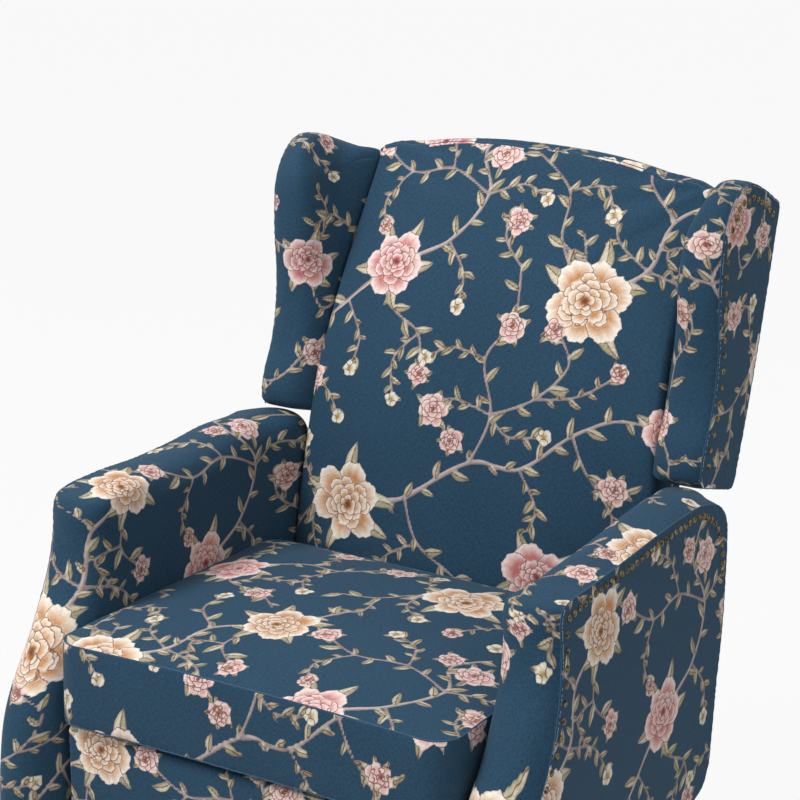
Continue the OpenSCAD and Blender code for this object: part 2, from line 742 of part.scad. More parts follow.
// wing in the side view, as depth forward and height up the back's rear face
wing_top = back_len + 4;
wing_outline = concat([[0, wing_low], [wing_low_deep - 10, wing_low], [wing_low_deep, wing_low + 8]],
    curve([[wing_low_deep + 3, wing_low + 35], [mix(wing_low_deep, wing_waist, 0.7), wing_low + 90], [wing_waist, wing_low + 140],
        [mix(wing_waist, wing_deep, 0.3), wing_low + 205], [mix(wing_waist, wing_deep, 0.75), wing_low + 270],
        [wing_deep, wing_top - 45]], 2),
    curve([[wing_deep - 6, wing_top - 22], [wing_deep - 22, wing_top], [wing_deep - 46, wing_top + 9]], 2),
    [[wing_deep * 0.36, wing_top + 5], [0, wing_top - 8]]);
wing_inner = back_half;
wing_face = wing_out - wing_board_t;

crease_spread = 0.06;
function wing_point(p, t, s) =
    let (mid = [60, wing_low + 190], q = mid + (p - mid) * s, x = mix(wing_inner, wing_face, t),
        crease = max(crease_deep(min(q[1], back_len)) - 4, 20), forward = ease((q[0] - 50) / 50),
        toe = ease(t / 0.2), round = swell(mix(0.5, 1, t)))
    [x, -(mix(min(q[0], mix(crease, q[0], crease_spread)), q[0], toe) + wing_swell * swell(max(t, 0.12)) * forward * toe * s),
        q[1] - 9 * ease((q[1] - wing_top + 60) / 60) * (1 - ease(t / 0.25)) - 3 * (1 - round) * ease((q[1] - wing_top + 30) / 30)];
function wing_ring(t, s) = [for (i = [len(wing_outline) - 1:-1:0]) wing_point(wing_outline[i], t, s)];

module wing_pad() {
    lean() loft(concat([for (s = [0.3, 0.8]) wing_ring(0, s)],
        [for (t = [0, 0.06, 0.14, 0.24, 0.45, 0.65, 0.85, 0.95, 1]) wing_ring(t, 1)],
        [for (s = [0.8, 0.3]) wing_ring(1, s)]));
}

module wing_board() {
    lean() translate([wing_face, 0, 0]) rotate([90, 0, 90]) linear_extrude(wing_board_t)
        polygon([for (p = wing_outline) [-p[0], p[1]]]);
}

wing_front_row = curve([[wing_low_deep - nail_inset, wing_low + nail_inset + 4], [wing_low_deep - nail_inset + 1, wing_low + 60],
    [wing_waist - nail_inset, wing_low + 140], [mix(wing_waist, wing_deep, 0.3) - nail_inset, wing_low + 205],
    [mix(wing_waist, wing_deep, 0.75) - nail_inset, wing_low + 270], [wing_deep - nail_inset, wing_top - 48]], 3);
wing_top_row = curve([[wing_deep - nail_inset - 4, wing_top - 30], [wing_deep - nail_inset - 20, wing_top - 12],
    [wing_deep - nail_inset - 40, wing_top - 5], [wing_deep * 0.36, wing_top - nail_inset + 5],
    [nail_inset, wing_top - nail_inset - 6]], 3);

module wing_nails() {
    lean() for (p = concat(stations(wing_front_row, nail_pitch_front), stations(wing_top_row, nail_pitch_top)))
        translate([wing_out, -p[0], p[1]]) nail();
}

// footrest linkage and footrest

module drive_link() {
    side_slab(link1_x, link_t) difference() {
        bar_shape(p1, p2, link_r);
        translate(p2) circle(pivot_r + run_gap, $fn = 32);
    }
    across(link1_x + 1, p1, pivot_r, plate_x + plate_t - side_gap - link1_x - 1);
    across(link1_x + 1, p1, pivot_r * 2, plate_x - side_gap - link1_x - 1);
}

module torque_tube() {
    wall = 2;
    color(zinc) difference() {
        across(-link1_x, p1, torque_r, 2 * link1_x);
        across(-link1_x - 1, p1, torque_r - wall, 2 * link1_x + 2);
    }
}

pin_run = link_t + 2 * side_gap;
pin_head_t = 2;
module link_pin(x, p) {
    across(x - 1, p, pivot_r, pin_run + 1);
    across(x + pin_run, p, pivot_r * 1.6, pin_head_t);
}

module carry_link() {
    side_slab(link2_x, link_t) difference() {
        bar_shape(p2, p3, link_r);
        translate(p3) circle(pivot_r + run_gap, $fn = 32);
    }
    link_pin(link2_x + link_t, p2);
}

rest_high_z = seat_low_z - rest_gap;
module footrest_board() {
    inset = 8;
    color(wood) translate([-rest_half + inset, rest_board_y, rest_low_z + inset])
        cube([2 * (rest_half - inset), rest_board_t, rest_high_z - rest_low_z - 2 * inset]);
}

module footrest_pad() {
    r = 12;
    pull = 2;
    rows = [[0, 0.985], [rest_edge * 0.4, 1], [rest_edge, 0.995], [rest_edge + 3, 0.95], [rest_edge + 5, 0.8],
        [rest_edge + 6, 0.4]];
    mid = (rest_low_z + rest_high_z) / 2;
    half = (rest_high_z - rest_low_z) / 2;
    color(navy) translate([0, rest_board_y, mid]) rotate([90, 0, 0])
        loft([for (row = rows) plan(rest_half, -half, half, r, pull, row[0], row[1])]);
}

module footrest_brackets() {
    rear = rest_board_y + rest_board_t;
    reach = 45;
    foot_w = 22;
    color(steel) both() {
        side_slab(bracket_x, link_t) polygon([[rear, p3[1] - reach], [rear + 4, p3[1] - reach], [p3[0] + 12, p3[1] - 8],
            [p3[0] + 12, p3[1] + 8], [rear + 4, p3[1] + reach], [rear, p3[1] + reach]]);
        translate([bracket_x - foot_w, rear, p3[1] - reach]) cube([foot_w, 3, 2 * reach]);
        link_pin(bracket_x + link_t, p3);
    }
}

// release lever on the outer side of the right arm

lever_side = arm_side_x(lever[1]);
bush_t = 4;
hub_x = -lever_side - bush_t - 1.5;
hub_t = 20;
shaft_seat = 14.5;

module lever_bush() {
    flange = 26;
    color(rubber) difference() {
        across(-lever_side - bush_t, lever, flange, bush_t);
        across(-lever_side - bush_t - 1, lever, shaft_r + shaft_gap, bush_t + 2);
    }
}

module lever_shaft() {
    crank_x = -plate_x + side_gap;
    crank_len = 34;
    crank_end = lever + crank_len * [cos(290), sin(290)];
    color(zinc) {
        across(hub_x - shaft_seat, lever, shaft_r, crank_x + link_t + 1 - hub_x + shaft_seat);
        side_slab(crank_x, link_t) bar_shape(lever, crank_end, 9);
    }
}

module lever_handle() {
    arm_t = 12;
    drop = 12;
    tip = lever + lever_len * [-cos(drop), -sin(drop)];
    neck = mix(lever, tip, 0.28);
    palm = mix(lever, tip, 0.68);
    color(wood) difference() {
        union() {
            across(hub_x - hub_t, lever, 17, hub_t);
            side_slab(hub_x - hub_t, arm_t) bar_shape(lever, neck, 13);
            hull() {
                across(hub_x - hub_t, neck, 13, arm_t);
                across(hub_x - hub_t - 2, palm, 15, arm_t + 1);
            }
            hull() {
                across(hub_x - hub_t - 2, palm, 15, arm_t + 1);
                across(hub_x - hub_t - 2, tip, 11, arm_t);
            }
        }
        across(hub_x - shaft_seat, lever, shaft_r, hub_t);
    }
}

floor_pad();
base_ring();
base_cross();
swivel_lower_plate();
kingpin();
bearing_cage();
bearing_balls();
base_bolts();
swivel_upper_plate();
color(wood) rocker_rail();  // rocker_rail_left
color(wood) mirror([1, 0, 0]) rocker_rail();  // rocker_rail_right
rocker_crossbars();
rocker_springs();
color(wood) rocker_cam();  // rocker_cam_left
color(wood) mirror([1, 0, 0]) rocker_cam();  // rocker_cam_right
spring_bars();
cross_tube(front_tube_y);  // front_cross_tube
cross_tube(rear_tube_y);  // rear_cross_tube
color(steel) side_plate();  // side_plate_left
color(steel) mirror([1, 0, 0]) side_plate();  // side_plate_right
color(steel) seat_track();  // seat_track_left
color(steel) mirror([1, 0, 0]) seat_track();  // seat_track_right
color(wood) arm_frame();  // arm_frame_left
color(wood) arm_frame_right();
color(navy) arm_cover();  // arm_cover_left
color(navy) arm_cover_right();
color(bronze) arm_nails();  // arm_nails_left
color(bronze) mirror([1, 0, 0]) arm_nails();  // arm_nails_right
rear_stretcher();
rear_panel();
back_hinge_pins();
lever_bush();
color(wood) seat_rail();  // seat_rail_left
color(wood) mirror([1, 0, 0]) seat_rail();  // seat_rail_right
color(wood) seat_bar(-seat_frame_front);  // seat_front_bar
color(wood) seat_bar(seat_back_bar_y);  // seat_rear_bar
seat_springs();
seat_cushion();
back_uprights();
back_rails();
back_board();
back_pad();
color(steel) back_bracket();  // back_bracket_left
color(steel) mirror([1, 0, 0]) back_bracket();  // back_bracket_right
color(navy) wing_board();  // wing_board_left
color(navy) mirror([1, 0, 0]) wing_board();  // wing_board_right
color(navy) wing_pad();  // wing_pad_left
color(navy) mirror([1, 0, 0]) wing_pad();  // wing_pad_right
color(bronze) wing_nails();  // wing_nails_left
color(bronze) mirror([1, 0, 0]) wing_nails();  // wing_nails_right
color(zinc) drive_link();  // drive_link_left
color(zinc) mirror([1, 0, 0]) drive_link();  // drive_link_right
torque_tube();
color(zinc) carry_link();  // carry_link_left
color(zinc) mirror([1, 0, 0]) carry_link();  // carry_link_right
footrest_board();
footrest_pad();
footrest_brackets();
lever_handle();
lever_shaft();
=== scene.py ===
# Swivel rocker recliner: wing-back armchair in printed linen weave, on a steel floor ring
import math

import bpy
import numpy as np
from mathutils import Matrix, Vector
from mathutils.kdtree import KDTree


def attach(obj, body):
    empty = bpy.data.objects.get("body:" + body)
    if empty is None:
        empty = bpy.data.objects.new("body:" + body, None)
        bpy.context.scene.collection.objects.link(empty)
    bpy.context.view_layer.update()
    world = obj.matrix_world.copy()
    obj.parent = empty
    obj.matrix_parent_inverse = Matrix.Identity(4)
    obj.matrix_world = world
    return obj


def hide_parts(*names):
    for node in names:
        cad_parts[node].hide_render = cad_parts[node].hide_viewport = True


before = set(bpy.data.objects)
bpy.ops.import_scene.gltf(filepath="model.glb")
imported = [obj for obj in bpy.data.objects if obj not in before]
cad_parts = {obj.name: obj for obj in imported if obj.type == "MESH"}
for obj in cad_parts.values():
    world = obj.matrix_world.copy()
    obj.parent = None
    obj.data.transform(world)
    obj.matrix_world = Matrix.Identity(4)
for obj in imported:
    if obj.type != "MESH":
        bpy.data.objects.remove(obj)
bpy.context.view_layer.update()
print("frame loaded:", len(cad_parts), "nodes")


def ease(t):
    # 0 to 1 with level ends
    t = np.clip(t, 0, 1)
    return t * t * (3 - 2 * t)


def mixed(a, b, t):
    return a + (b - a) * t


def toLinear(hexColour):
    rgb = [int(hexColour[i:i + 2], 16) / 255 for i in (1, 3, 5)]
    return [c / 12.92 if c <= 0.04045 else ((c + 0.055) / 1.055) ** 2.4 for c in rgb]


def paint(hexColour):
    return (*toLinear(hexColour), 1.0)


def addNode(tree, kind, links=None, **settings):
    # a new node; settings name its properties or its sockets, _6 being its socket 6,
    # and links join its sockets to other nodes' outputs
    node = tree.nodes.new(kind)
    for name, value in settings.items():
        if hasattr(node, name):
            setattr(node, name, value)
        else:
            node.inputs[int(name[1:]) if name[0] == "_" and name[1:].isdigit() else name.replace("_", " ")
                ].default_value = value
    for socket, source in (links or {}).items():
        tree.links.new(source, node.inputs[socket])
    return node


def newMaterial(name, **shader):
    material = bpy.data.materials.new(name)
    material.use_nodes = True
    tree = material.node_tree
    principled = tree.nodes["Principled BSDF"]
    for socket, value in shader.items():
        principled.inputs[socket.replace("_", " ")].default_value = value
    return material, tree, principled


def dress(node, material):
    # a CAD node keeps its shape and gets a better finish
    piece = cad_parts[node]
    piece.data.materials.clear()
    piece.data.materials.append(material)


# the print on the cloth, laid out for one repeat, in millimetres
clothPrint = {
    "repeat": (620.0, 700.0),
    "dot": 0.625,
    "seed": 7,
    "softEdge": 1.05,
    "softLine": 1.3,
    "spread": 1.5,
    "grain": 0.5,
    "solidEdge": 0.6,
    "lineTint": (0.27, 0.13, 0.09, 1),
    "lineFull": 0.02,
    "lineGone": 0.21,
    "lineDark": 0.92,
    "rimDark": 0.46,
    "twigTip": 3.5,
    "sprigWidths": (3.7, 3.4),
    "twigLeaves": {"start": 0.2, "stop": 0.97, "pitch": 24, "length": 30},
    "sprigLeaves": {"start": 0.15, "stop": 1.0, "pitch": 10.5, "length": 23},
    "leavesRoundFlower": 5,
}
# flower kinds: petals in each ring, how far each ring reaches, colours from the rim in,
# and how deeply the rims are cut
creamPeony = {"petals": (6, 7, 6, 6, 5), "reach": (1.0, 0.7, 0.56, 0.42, 0.27), "edge": "#fdf8ef",
    "body": "#f6e4cb", "root": "#c5803f", "heart": "#4b2a20", "notch": 0.075}
pinkPeony = {"petals": (6, 6, 6, 6, 5), "reach": (1.0, 0.68, 0.54, 0.4, 0.26), "edge": "#fdf1ec",
    "body": "#f4cfca", "root": "#c2625f", "heart": "#5f2a30", "notch": 0.06}
smallRose = {"petals": (6, 6, 4, 4), "reach": (1.0, 0.76, 0.52, 0.3), "edge": "#fcf3ed",
    "body": "#f6ddd7", "root": "#da9793", "heart": "#b76866", "notch": 0.05}
whiteBlossom = {"petals": (5,), "reach": (1.0,), "edge": "#fbf6ea", "body": "#f0e6ce", "root": "#b9a578",
    "heart": "#8a6b3a", "notch": 0.1}
leafInk = {"light": "#ddd3bb", "dark": "#9c9274", "rib": "#4c4936"}
twigInk = {"light": "#d0c3bf", "dark": "#6d5f64"}


def newPrintSheet():
    cols = round(clothPrint["repeat"][0] / clothPrint["dot"])
    rows = round(clothPrint["repeat"][1] / clothPrint["dot"])
    return {"ink": np.zeros((rows, cols, 3)), "mask": np.zeros((rows, cols)), "ring": np.ones((rows, cols)),
        "petal": np.ones((rows, cols))}


def windowAt(sheet, x, y, reach):
    # rows and columns of the sheet round a place, wrapped at its edges, and the millimetres from that place
    dot = clothPrint["dot"]
    rows = np.arange(math.floor((y - reach) / dot), math.ceil((y + reach) / dot) + 1)
    cols = np.arange(math.floor((x - reach) / dot), math.ceil((x + reach) / dot) + 1)
    dx, dy = np.meshgrid(cols * dot - x, rows * dot - y)
    return np.ix_(rows % sheet["mask"].shape[0], cols % sheet["mask"].shape[1]), dx, dy


def layInk(sheet, where, inside, colour, ring=1.0, petal=1.0):
    # ring and petal are 1 or -1 in turn, so that a line can be drawn where they change
    for key, value in (("ink", colour), ("mask", 1.0), ("ring", ring), ("petal", petal)):
        layer = sheet[key][where]
        keep = inside[..., None] if layer.ndim == 3 else inside
        sheet[key][where] = np.where(keep, value, layer)


def blend3(a, b, t):
    return np.asarray(a) * (1 - t[..., None]) + np.asarray(b) * t[..., None]


def drawFlower(sheet, draw, kind, x, y, radius, turn):
    where, dx, dy = windowAt(sheet, x, y, radius * 1.15)
    edge, body, root, heart = (toLinear(kind[k]) for k in ("edge", "body", "root", "heart"))
    tilt = draw.uniform(0, 2 * math.pi)
    reaches = kind["reach"] + (0.12,)
    for k, (count, reach) in enumerate(zip(kind["petals"], kind["reach"])):
        shift = 0.14 * radius * (1 - reach)
        px = dx - shift * math.cos(tilt)
        py = dy - shift * math.sin(tilt)
        r = np.hypot(px, py * (1 + 0.12 * (k > 0))) / radius
        angle = np.arctan2(py, px)
        shown = reaches[k + 1] / reach
        order = list(range(count))
        draw.shuffle(order)
        for i in order:
            spread = math.pi / count * draw.uniform(1.1, 1.55)
            mid = turn + (i + 0.5 * (k % 2)) * 2 * math.pi / count + draw.uniform(-0.16, 0.16)
            off = (angle - mid + math.pi) % (2 * math.pi) - math.pi
            t = np.clip(np.abs(off) / spread, 0, 1)
            lobes = kind["notch"] * (np.abs(np.cos(off * count * 1.6 + draw.uniform(0, 3))) - 0.5)
            frill = 0.016 * np.sin(off * 37 + draw.uniform(0, 6)) + 0.008 * np.sin(off * 71 + draw.uniform(0,
                6))
            rim = reach * draw.uniform(0.86, 1.05) * ((1 - t ** 2.6 * 0.5) + lobes * (1 - t) + frill)
            inside = (r < rim) & (np.abs(off) < spread)
            depth = np.clip((r / np.maximum(rim, 0.01) - shown * 0.92) / (1 - shown * 0.92), 0, 1)
            flank = np.clip((t - 0.45) / 0.55, 0, 1) ** 1.6 * (1 - 0.6 * depth)
            rootShare = np.clip((1 - depth) ** 1.4 + (0.75 if k else 0.35) * flank, 0, 1)
            edgeShare = depth ** 1.6
            streak = 0.93 + 0.08 * np.sin(off * 60 + 3 * np.sin(r * 17 + i)) + 0.05 * np.sin(off * 23 + i)
            colour = blend3(blend3(body, edge, edgeShare), root, rootShare * 0.9) * streak[..., None]
            layInk(sheet, where, inside, colour, 1 - 2 * (k % 2), 1 - 2 * (i % 2))
    size = 0.10 if len(kind["petals"]) > 1 else 0.26
    hx = dx - 0.09 * radius * math.cos(tilt)
    hy = dy - 0.09 * radius * math.sin(tilt)
    star = np.hypot(hx, hy) / radius * (1 + 0.25 * np.cos(7 * np.arctan2(hy, hx) + turn))
    layInk(sheet, where, star < size, blend3(heart, root, np.clip(star / size, 0, 1) * 0.5), 1, 1)


def drawLeaf(sheet, draw, x, y, length, width, turn):
    where, dx, dy = windowAt(sheet, x, y, length * 1.05)
    along = (dx * math.cos(turn) + dy * math.sin(turn)) / length
    t = np.clip(along, 0, 1)
    bend = 0.10 * length * np.sin(t * math.pi) * draw.uniform(-1, 1)
    across = (-dx * math.sin(turn) + dy * math.cos(turn)) - bend
    half = width / 2 * (np.sin(math.pi * t ** 0.75) ** 1.15 + 0.03)
    inside = (along > 0) & (along < 1) & (np.abs(across) < half)
    light, dark, rib = (toLinear(leafInk[k]) for k in ("light", "dark", "rib"))
    share = np.clip(0.5 + 0.5 * np.sign(across) * 0.7 + 0.35 * np.sin(t * 34 - np.abs(across) * 1.3), 0, 1)
    # its halves differ in tone and are ribbed, with a dark midrib and rim
    colour = blend3(dark, light, share) * draw.uniform(0.85, 1.1)
    colour = blend3(colour, rib, 0.75 * (1 - np.clip(np.abs(across) / 1.1, 0, 1)))
    colour = blend3(colour, rib, 0.45 * np.clip(np.abs(across) / np.maximum(half, 0.1) * 3 - 2, 0, 1))
    layInk(sheet, where, inside, colour, np.where(across > 0, 1.0, -1.0), 1)


def drawTwig(sheet, points, thick, thin):
    # a smooth twig through the given points, drawn as overlapping dots
    light, dark = toLinear(twigInk["light"]), toLinear(twigInk["dark"])
    path = smoothPath(points, 14)
    n = len(path)
    for i in range(n - 1):
        a, b = np.array(path[i]), np.array(path[i + 1])
        width = thick + (thin - thick) * i / n
        width *= 1 + 0.12 * math.sin(i * 0.9)
        mid = (a + b) / 2
        where, dx, dy = windowAt(sheet, mid[0], mid[1], np.linalg.norm(b - a) / 2 + width)
        d = (b - a) / max(np.linalg.norm(b - a), 1e-6)
        s = np.clip(dx * d[0] + dy * d[1], -np.linalg.norm(b - a) / 2, np.linalg.norm(b - a) / 2)
        ex, ey = dx - s * d[0], dy - s * d[1]
        side = (-d[1] * ex + d[0] * ey) / width * 2
        inside = np.hypot(ex, ey) < width / 2
        colour = blend3(dark, light, np.clip(0.55 + 0.6 * side, 0, 1) * min(1.0, 0.25 + thick / 8))
        layInk(sheet, where, inside, colour)
    return path


def smoothPath(points, steps):
    p = [np.array(q, float) for q in points]
    out = []
    for i in range(len(p) - 1):
        a, b, c, d = p[max(i - 1, 0)], p[i], p[i + 1], p[min(i + 2, len(p) - 1)]
        for k in range(steps):
            t = k / steps
            out.append(0.5 * (2 * b + (c - a) * t + (2 * a - 5 * b + 4 * c - d) * t * t
                + (3 * b - a - 3 * c + d) * t ** 3))
    return out + [p[-1]]


def leafSpray(sheet, draw, path, start, stop, pitch, length):
    # leaves in turn on either side of a twig
    walked, side = 0.0, 1
    for i in range(1, len(path)):
        step = path[i] - path[i - 1]
        walked += np.linalg.norm(step)
        share = i / len(path)
        if walked >= pitch and start < share < stop:
            walked = 0.0
            side = -side
            turn = math.atan2(step[1], step[0]) + side * draw.uniform(0.55, 1.1)
            size = length * draw.uniform(0.7, 1.15)
            drawLeaf(sheet, draw, path[i][0], path[i][1], size, size * draw.uniform(0.3, 0.4), turn)


# each twig's width at its foot, and the places it passes
twigs = (
    (8.0, ((118, 146), (170, 158), (210, 168), (300, 232), (372, 236), (440, 292), (500, 322), (566, 318))),
    (4.2, ((300, 232), (322, 300), (300, 372), (330, 430), (322, 500))),
    (4.2, ((210, 168), (236, 110), (300, 70), (330, 12), (392, -30))),
    (7.0, ((430, 470), (500, 520), (520, 590), (590, 640), (640, 720))),
    (4.2, ((430, 470), (372, 540), (360, 610), (292, 660))),
    (6.0, ((120, 480), (60, 420), (20, 372), (24, 310), (-20, 262), (-54, 318))),
    (6.4, ((120, 480), (200, 520), (240, 590), (212, 650), (240, 700))),
    (5.0, ((410, 100), (480, 150), (540, 150), (600, 210), (660, 212))),
    (4.2, ((520, 590), (470, 640), (470, 690))),
    (4.2, ((240, 590), (170, 620), (100, 610), (40, 640))),
    (4.2, ((440, 292), (470, 240), (520, 232))),
    (4.2, ((118, 146), (60, 130), (20, 84), (-30, 70))),
    (4.2, ((408, 96), (440, 40), (500, 20), (548, -20))),
    (4.2, ((322, 300), (380, 330), (420, 380), (400, 420))),
    (4.2, ((120, 480), (140, 420), (190, 390), (204, 340))),
    (4.2, ((588, 640), (560, 560), (600, 520))),
)
# thin side shoots
sprigs = (
    ((80, 140), (40, 180), (34, 216)), ((300, 70), (262, 40), (226, 36)),
    ((372, 236), (400, 190), (392, 158)), ((322, 300), (262, 312), (222, 290)),
    ((500, 520), (560, 500), (596, 456)), ((60, 420), (96, 372), (92, 330)),
    ((200, 520), (236, 480), (240, 436)), ((540, 320), (586, 380), (560, 422)),
    ((540, 150), (520, 96), (548, 52)), ((360, 610), (410, 622), (430, 590)),
    ((170, 620), (150, 668), (110, 690)), ((322, 500), (290, 530), (280, 566)),
    ((20, 372), (-24, 392), (-60, 372)), ((300, 372), (250, 380), (212, 362)),
    ((470, 240), (500, 200), (498, 172)), ((380, 330), (440, 344), (490, 380)),
    ((500, 520), (452, 552), (440, 584)), ((190, 390), (160, 350), (170, 300)),
    ((100, 610), (70, 566), (84, 530)), ((60, 130), (66, 80), (104, 50)), ((440, 40), (470, 70), (514, 74)),
    ((560, 560), (520, 548), (548, 500)), ((236, 110), (190, 84), (160, 40)),
    ((24, 310), (60, 292), (84, 262)), ((322, 300), (350, 276), (400, 284)),
    ((240, 590), (290, 610), (330, 596)), ((20, 84), (30, 30), (-4, 6)),
    ((372, 540), (410, 520), (400, 556)),
)
# kind, place, radius and turn
flowers = (
    (creamPeony, 118, 146, 58, 0.3), (creamPeony, 430, 468, 60, 1.4), (pinkPeony, 408, 96, 46, 0.8),
    (pinkPeony, 120, 478, 50, 2.2), (creamPeony, 588, 640, 48, 2.9), (pinkPeony, 566, 318, 38, 0.2),
    (smallRose, 236, 292, 24, 0.1), (smallRose, 270, 256, 18, 1.7), (smallRose, 30, 306, 22, 0.6),
    (smallRose, 244, 648, 26, 2.0), (smallRose, 200, 668, 18, 0.9), (smallRose, 602, 200, 23, 1.1),
    (smallRose, 330, 420, 22, 2.6), (smallRose, 300, 560, 20, 0.4), (smallRose, 500, 232, 21, 1.9),
    (smallRose, 204, 336, 17, 0.4), (smallRose, 392, 424, 16, 0.9), (smallRose, 500, 18, 20, 2.1),
    (smallRose, 36, 642, 20, 1.3), (smallRose, 602, 516, 18, 0.3), (smallRose, 330, 10, 17, 1.2),
    (smallRose, 84, 528, 13, 0.6), (smallRose, 490, 384, 14, 1.1), (smallRose, 160, 36, 15, 0.2),
    (whiteBlossom, 34, 220, 13, 0.2), (whiteBlossom, 226, 34, 13, 0.9), (whiteBlossom, 92, 326, 12, 0.5),
    (whiteBlossom, 598, 450, 13, 1.2), (whiteBlossom, 240, 434, 12, 0.1), (whiteBlossom, 548, 50, 13, 0.7),
    (whiteBlossom, 434, 586, 12, 1.0), (whiteBlossom, 108, 690, 12, 0.3), (whiteBlossom, 170, 296, 11, 1.5),
    (whiteBlossom, 210, 360, 11, 0.8), (whiteBlossom, 468, 690, 12, 0.2), (whiteBlossom, 104, 48, 12, 0.6),
    (whiteBlossom, 332, 594, 11, 0.6), (whiteBlossom, 86, 258, 11, 0.1), (whiteBlossom, 402, 284, 11, 0.9),
)


def gaussian(layer, sigma):
    # blur that wraps at the sheet's edges
    rows, cols = layer.shape
    fy = np.fft.fftfreq(rows)[:, None]
    fx = np.fft.rfftfreq(cols)[None, :]
    fall = np.exp(-2 * (math.pi * sigma / clothPrint["dot"]) ** 2 * (fx * fx + fy * fy))
    return np.fft.irfft2(np.fft.rfft2(layer) * fall, s=layer.shape)


def drawPrint():
    sheet = newPrintSheet()
    draw = np.random.default_rng(clothPrint["seed"])
    for points in sprigs:
        path = drawTwig(sheet, points, *clothPrint["sprigWidths"])
        leafSpray(sheet, draw, path, **clothPrint["sprigLeaves"])
    for thick, points in twigs:
        path = drawTwig(sheet, points, thick, clothPrint["twigTip"])
        leafSpray(sheet, draw, path, **clothPrint["twigLeaves"])
    for _, x, y, radius, turn in flowers:
        if radius > 15:
            for i in range(clothPrint["leavesRoundFlower"]):
                leafTurn = turn + i * 1.35
                drawLeaf(sheet, draw, x + 0.6 * radius * math.cos(leafTurn),
                    y + 0.6 * radius * math.sin(leafTurn), radius * draw.uniform(0.75, 0.95), radius * 0.32,
                    leafTurn + draw.uniform(-0.4, 0.4))
    for kind, x, y, radius, turn in flowers:
        drawFlower(sheet, draw, kind, x, y, radius, turn)
    # ink spreads a little into the cloth round each shape, and keeps its drawing inside
    soft = gaussian(sheet["mask"], clothPrint["spread"]) + 1e-4
    wide = {"cover": gaussian(sheet["mask"] * 2 - 1, clothPrint["softEdge"])}
    for key in ("ring", "petal"):
        near = gaussian(sheet[key] * sheet["mask"], clothPrint["softLine"])
        wide[key] = np.clip(near / (gaussian(sheet["mask"], clothPrint["softLine"]) + 1e-4), -1, 1)
    ink = np.stack([gaussian(sheet["ink"][..., k] * sheet["mask"], clothPrint["spread"]) / soft
        for k in range(3)], -1)
    inner = np.stack([gaussian(sheet["ink"][..., k], clothPrint["grain"]) for k in range(3)], -1)
    solid = np.clip(gaussian(sheet["mask"], clothPrint["solidEdge"]) * 4 - 3, 0, 1)[..., None]
    wide["ink"] = np.clip(ink * (1 - solid) + inner * solid, 0, 1)
    return wide


def samplePrint(sheet, u, v):
    # the print under places on the cloth, in metres, read between its dots
    rows, cols = sheet["cover"].shape
    x = (u * 1000 / clothPrint["dot"]) % cols
    y = (v * 1000 / clothPrint["dot"]) % rows
    x0, y0 = np.floor(x).astype(int), np.floor(y).astype(int)
    fx, fy = x - x0, y - y0
    out = {}
    for key, layer in sheet.items():
        a, b = layer[y0 % rows, x0 % cols], layer[y0 % rows, (x0 + 1) % cols]
        c, d = layer[(y0 + 1) % rows, x0 % cols], layer[(y0 + 1) % rows, (x0 + 1) % cols]
        wx, wy = (fx[:, None], fy[:, None]) if layer.ndim == 3 else (fx, fy)
        out[key] = (a * (1 - wx) + b * wx) * (1 - wy) + (c * (1 - wx) + d * wx) * wy
    return out


def readUv(layer):
    uv = np.empty(len(layer.data) * 2, np.float32)
    layer.data.foreach_get("uv", uv)
    return uv.reshape(-1, 2)


def writeUv(layer, uv):
    layer.data.foreach_set("uv", uv.astype(np.float32).ravel())


def printOn(piece):
    # the print goes onto the finished mesh as two colour layers: the ink, and where it lies
    mesh = piece.data
    uv = readUv(mesh.uv_layers["cloth"]).astype(float)
    found = samplePrint(printSheet, uv[:, 0], uv[:, 1])
    one = np.ones(len(uv))
    marks = np.stack([found["cover"] * 0.5 + 0.5, found["ring"] * 0.5 + 0.5, found["petal"] * 0.5 + 0.5,
        one], -1)
    ink = np.concatenate([found["ink"], one[:, None]], -1)
    for name, values in (("printInk", ink), ("printMarks", marks)):
        layer = mesh.color_attributes.new(name, "FLOAT_COLOR", "CORNER")
        layer.data.foreach_set("color", values.astype(np.float32).ravel())


def onlySelect(*pieces):
    if bpy.context.mode != "OBJECT":
        bpy.ops.object.mode_set(mode="OBJECT")
    bpy.ops.object.select_all(action="DESELECT")
    for piece in pieces:
        piece.select_set(True)
    bpy.context.view_layer.objects.active = pieces[0]


def places(piece):
    co = np.empty(len(piece.data.vertices) * 3)
    piece.data.vertices.foreach_get("co", co)
    return co.reshape(-1, 3)


def normalsOf(piece):
    normals = np.empty(len(piece.data.vertices) * 3)
    piece.data.vertices.foreach_get("normal", normals)
    return normals.reshape(-1, 3)


def setPlaces(piece, co):
    piece.data.vertices.foreach_set("co", np.asarray(co, float).ravel())
    piece.data.update()


def cornersOf(mesh):
    # the vertex at each corner of each face
    at = np.empty(len(mesh.loops), np.int32)
    mesh.loops.foreach_get("vertex_index", at)
    return at


def faceOutwards(merged=None):
    # normals of the active piece, its doubles merged first where it was sewn from panels
    bpy.ops.object.mode_set(mode="EDIT")
    bpy.ops.mesh.select_all(action="SELECT")
    if merged:
        bpy.ops.mesh.remove_doubles(threshold=merged)
    bpy.ops.mesh.normals_make_consistent(inside=False)
    bpy.ops.object.mode_set(mode="OBJECT")


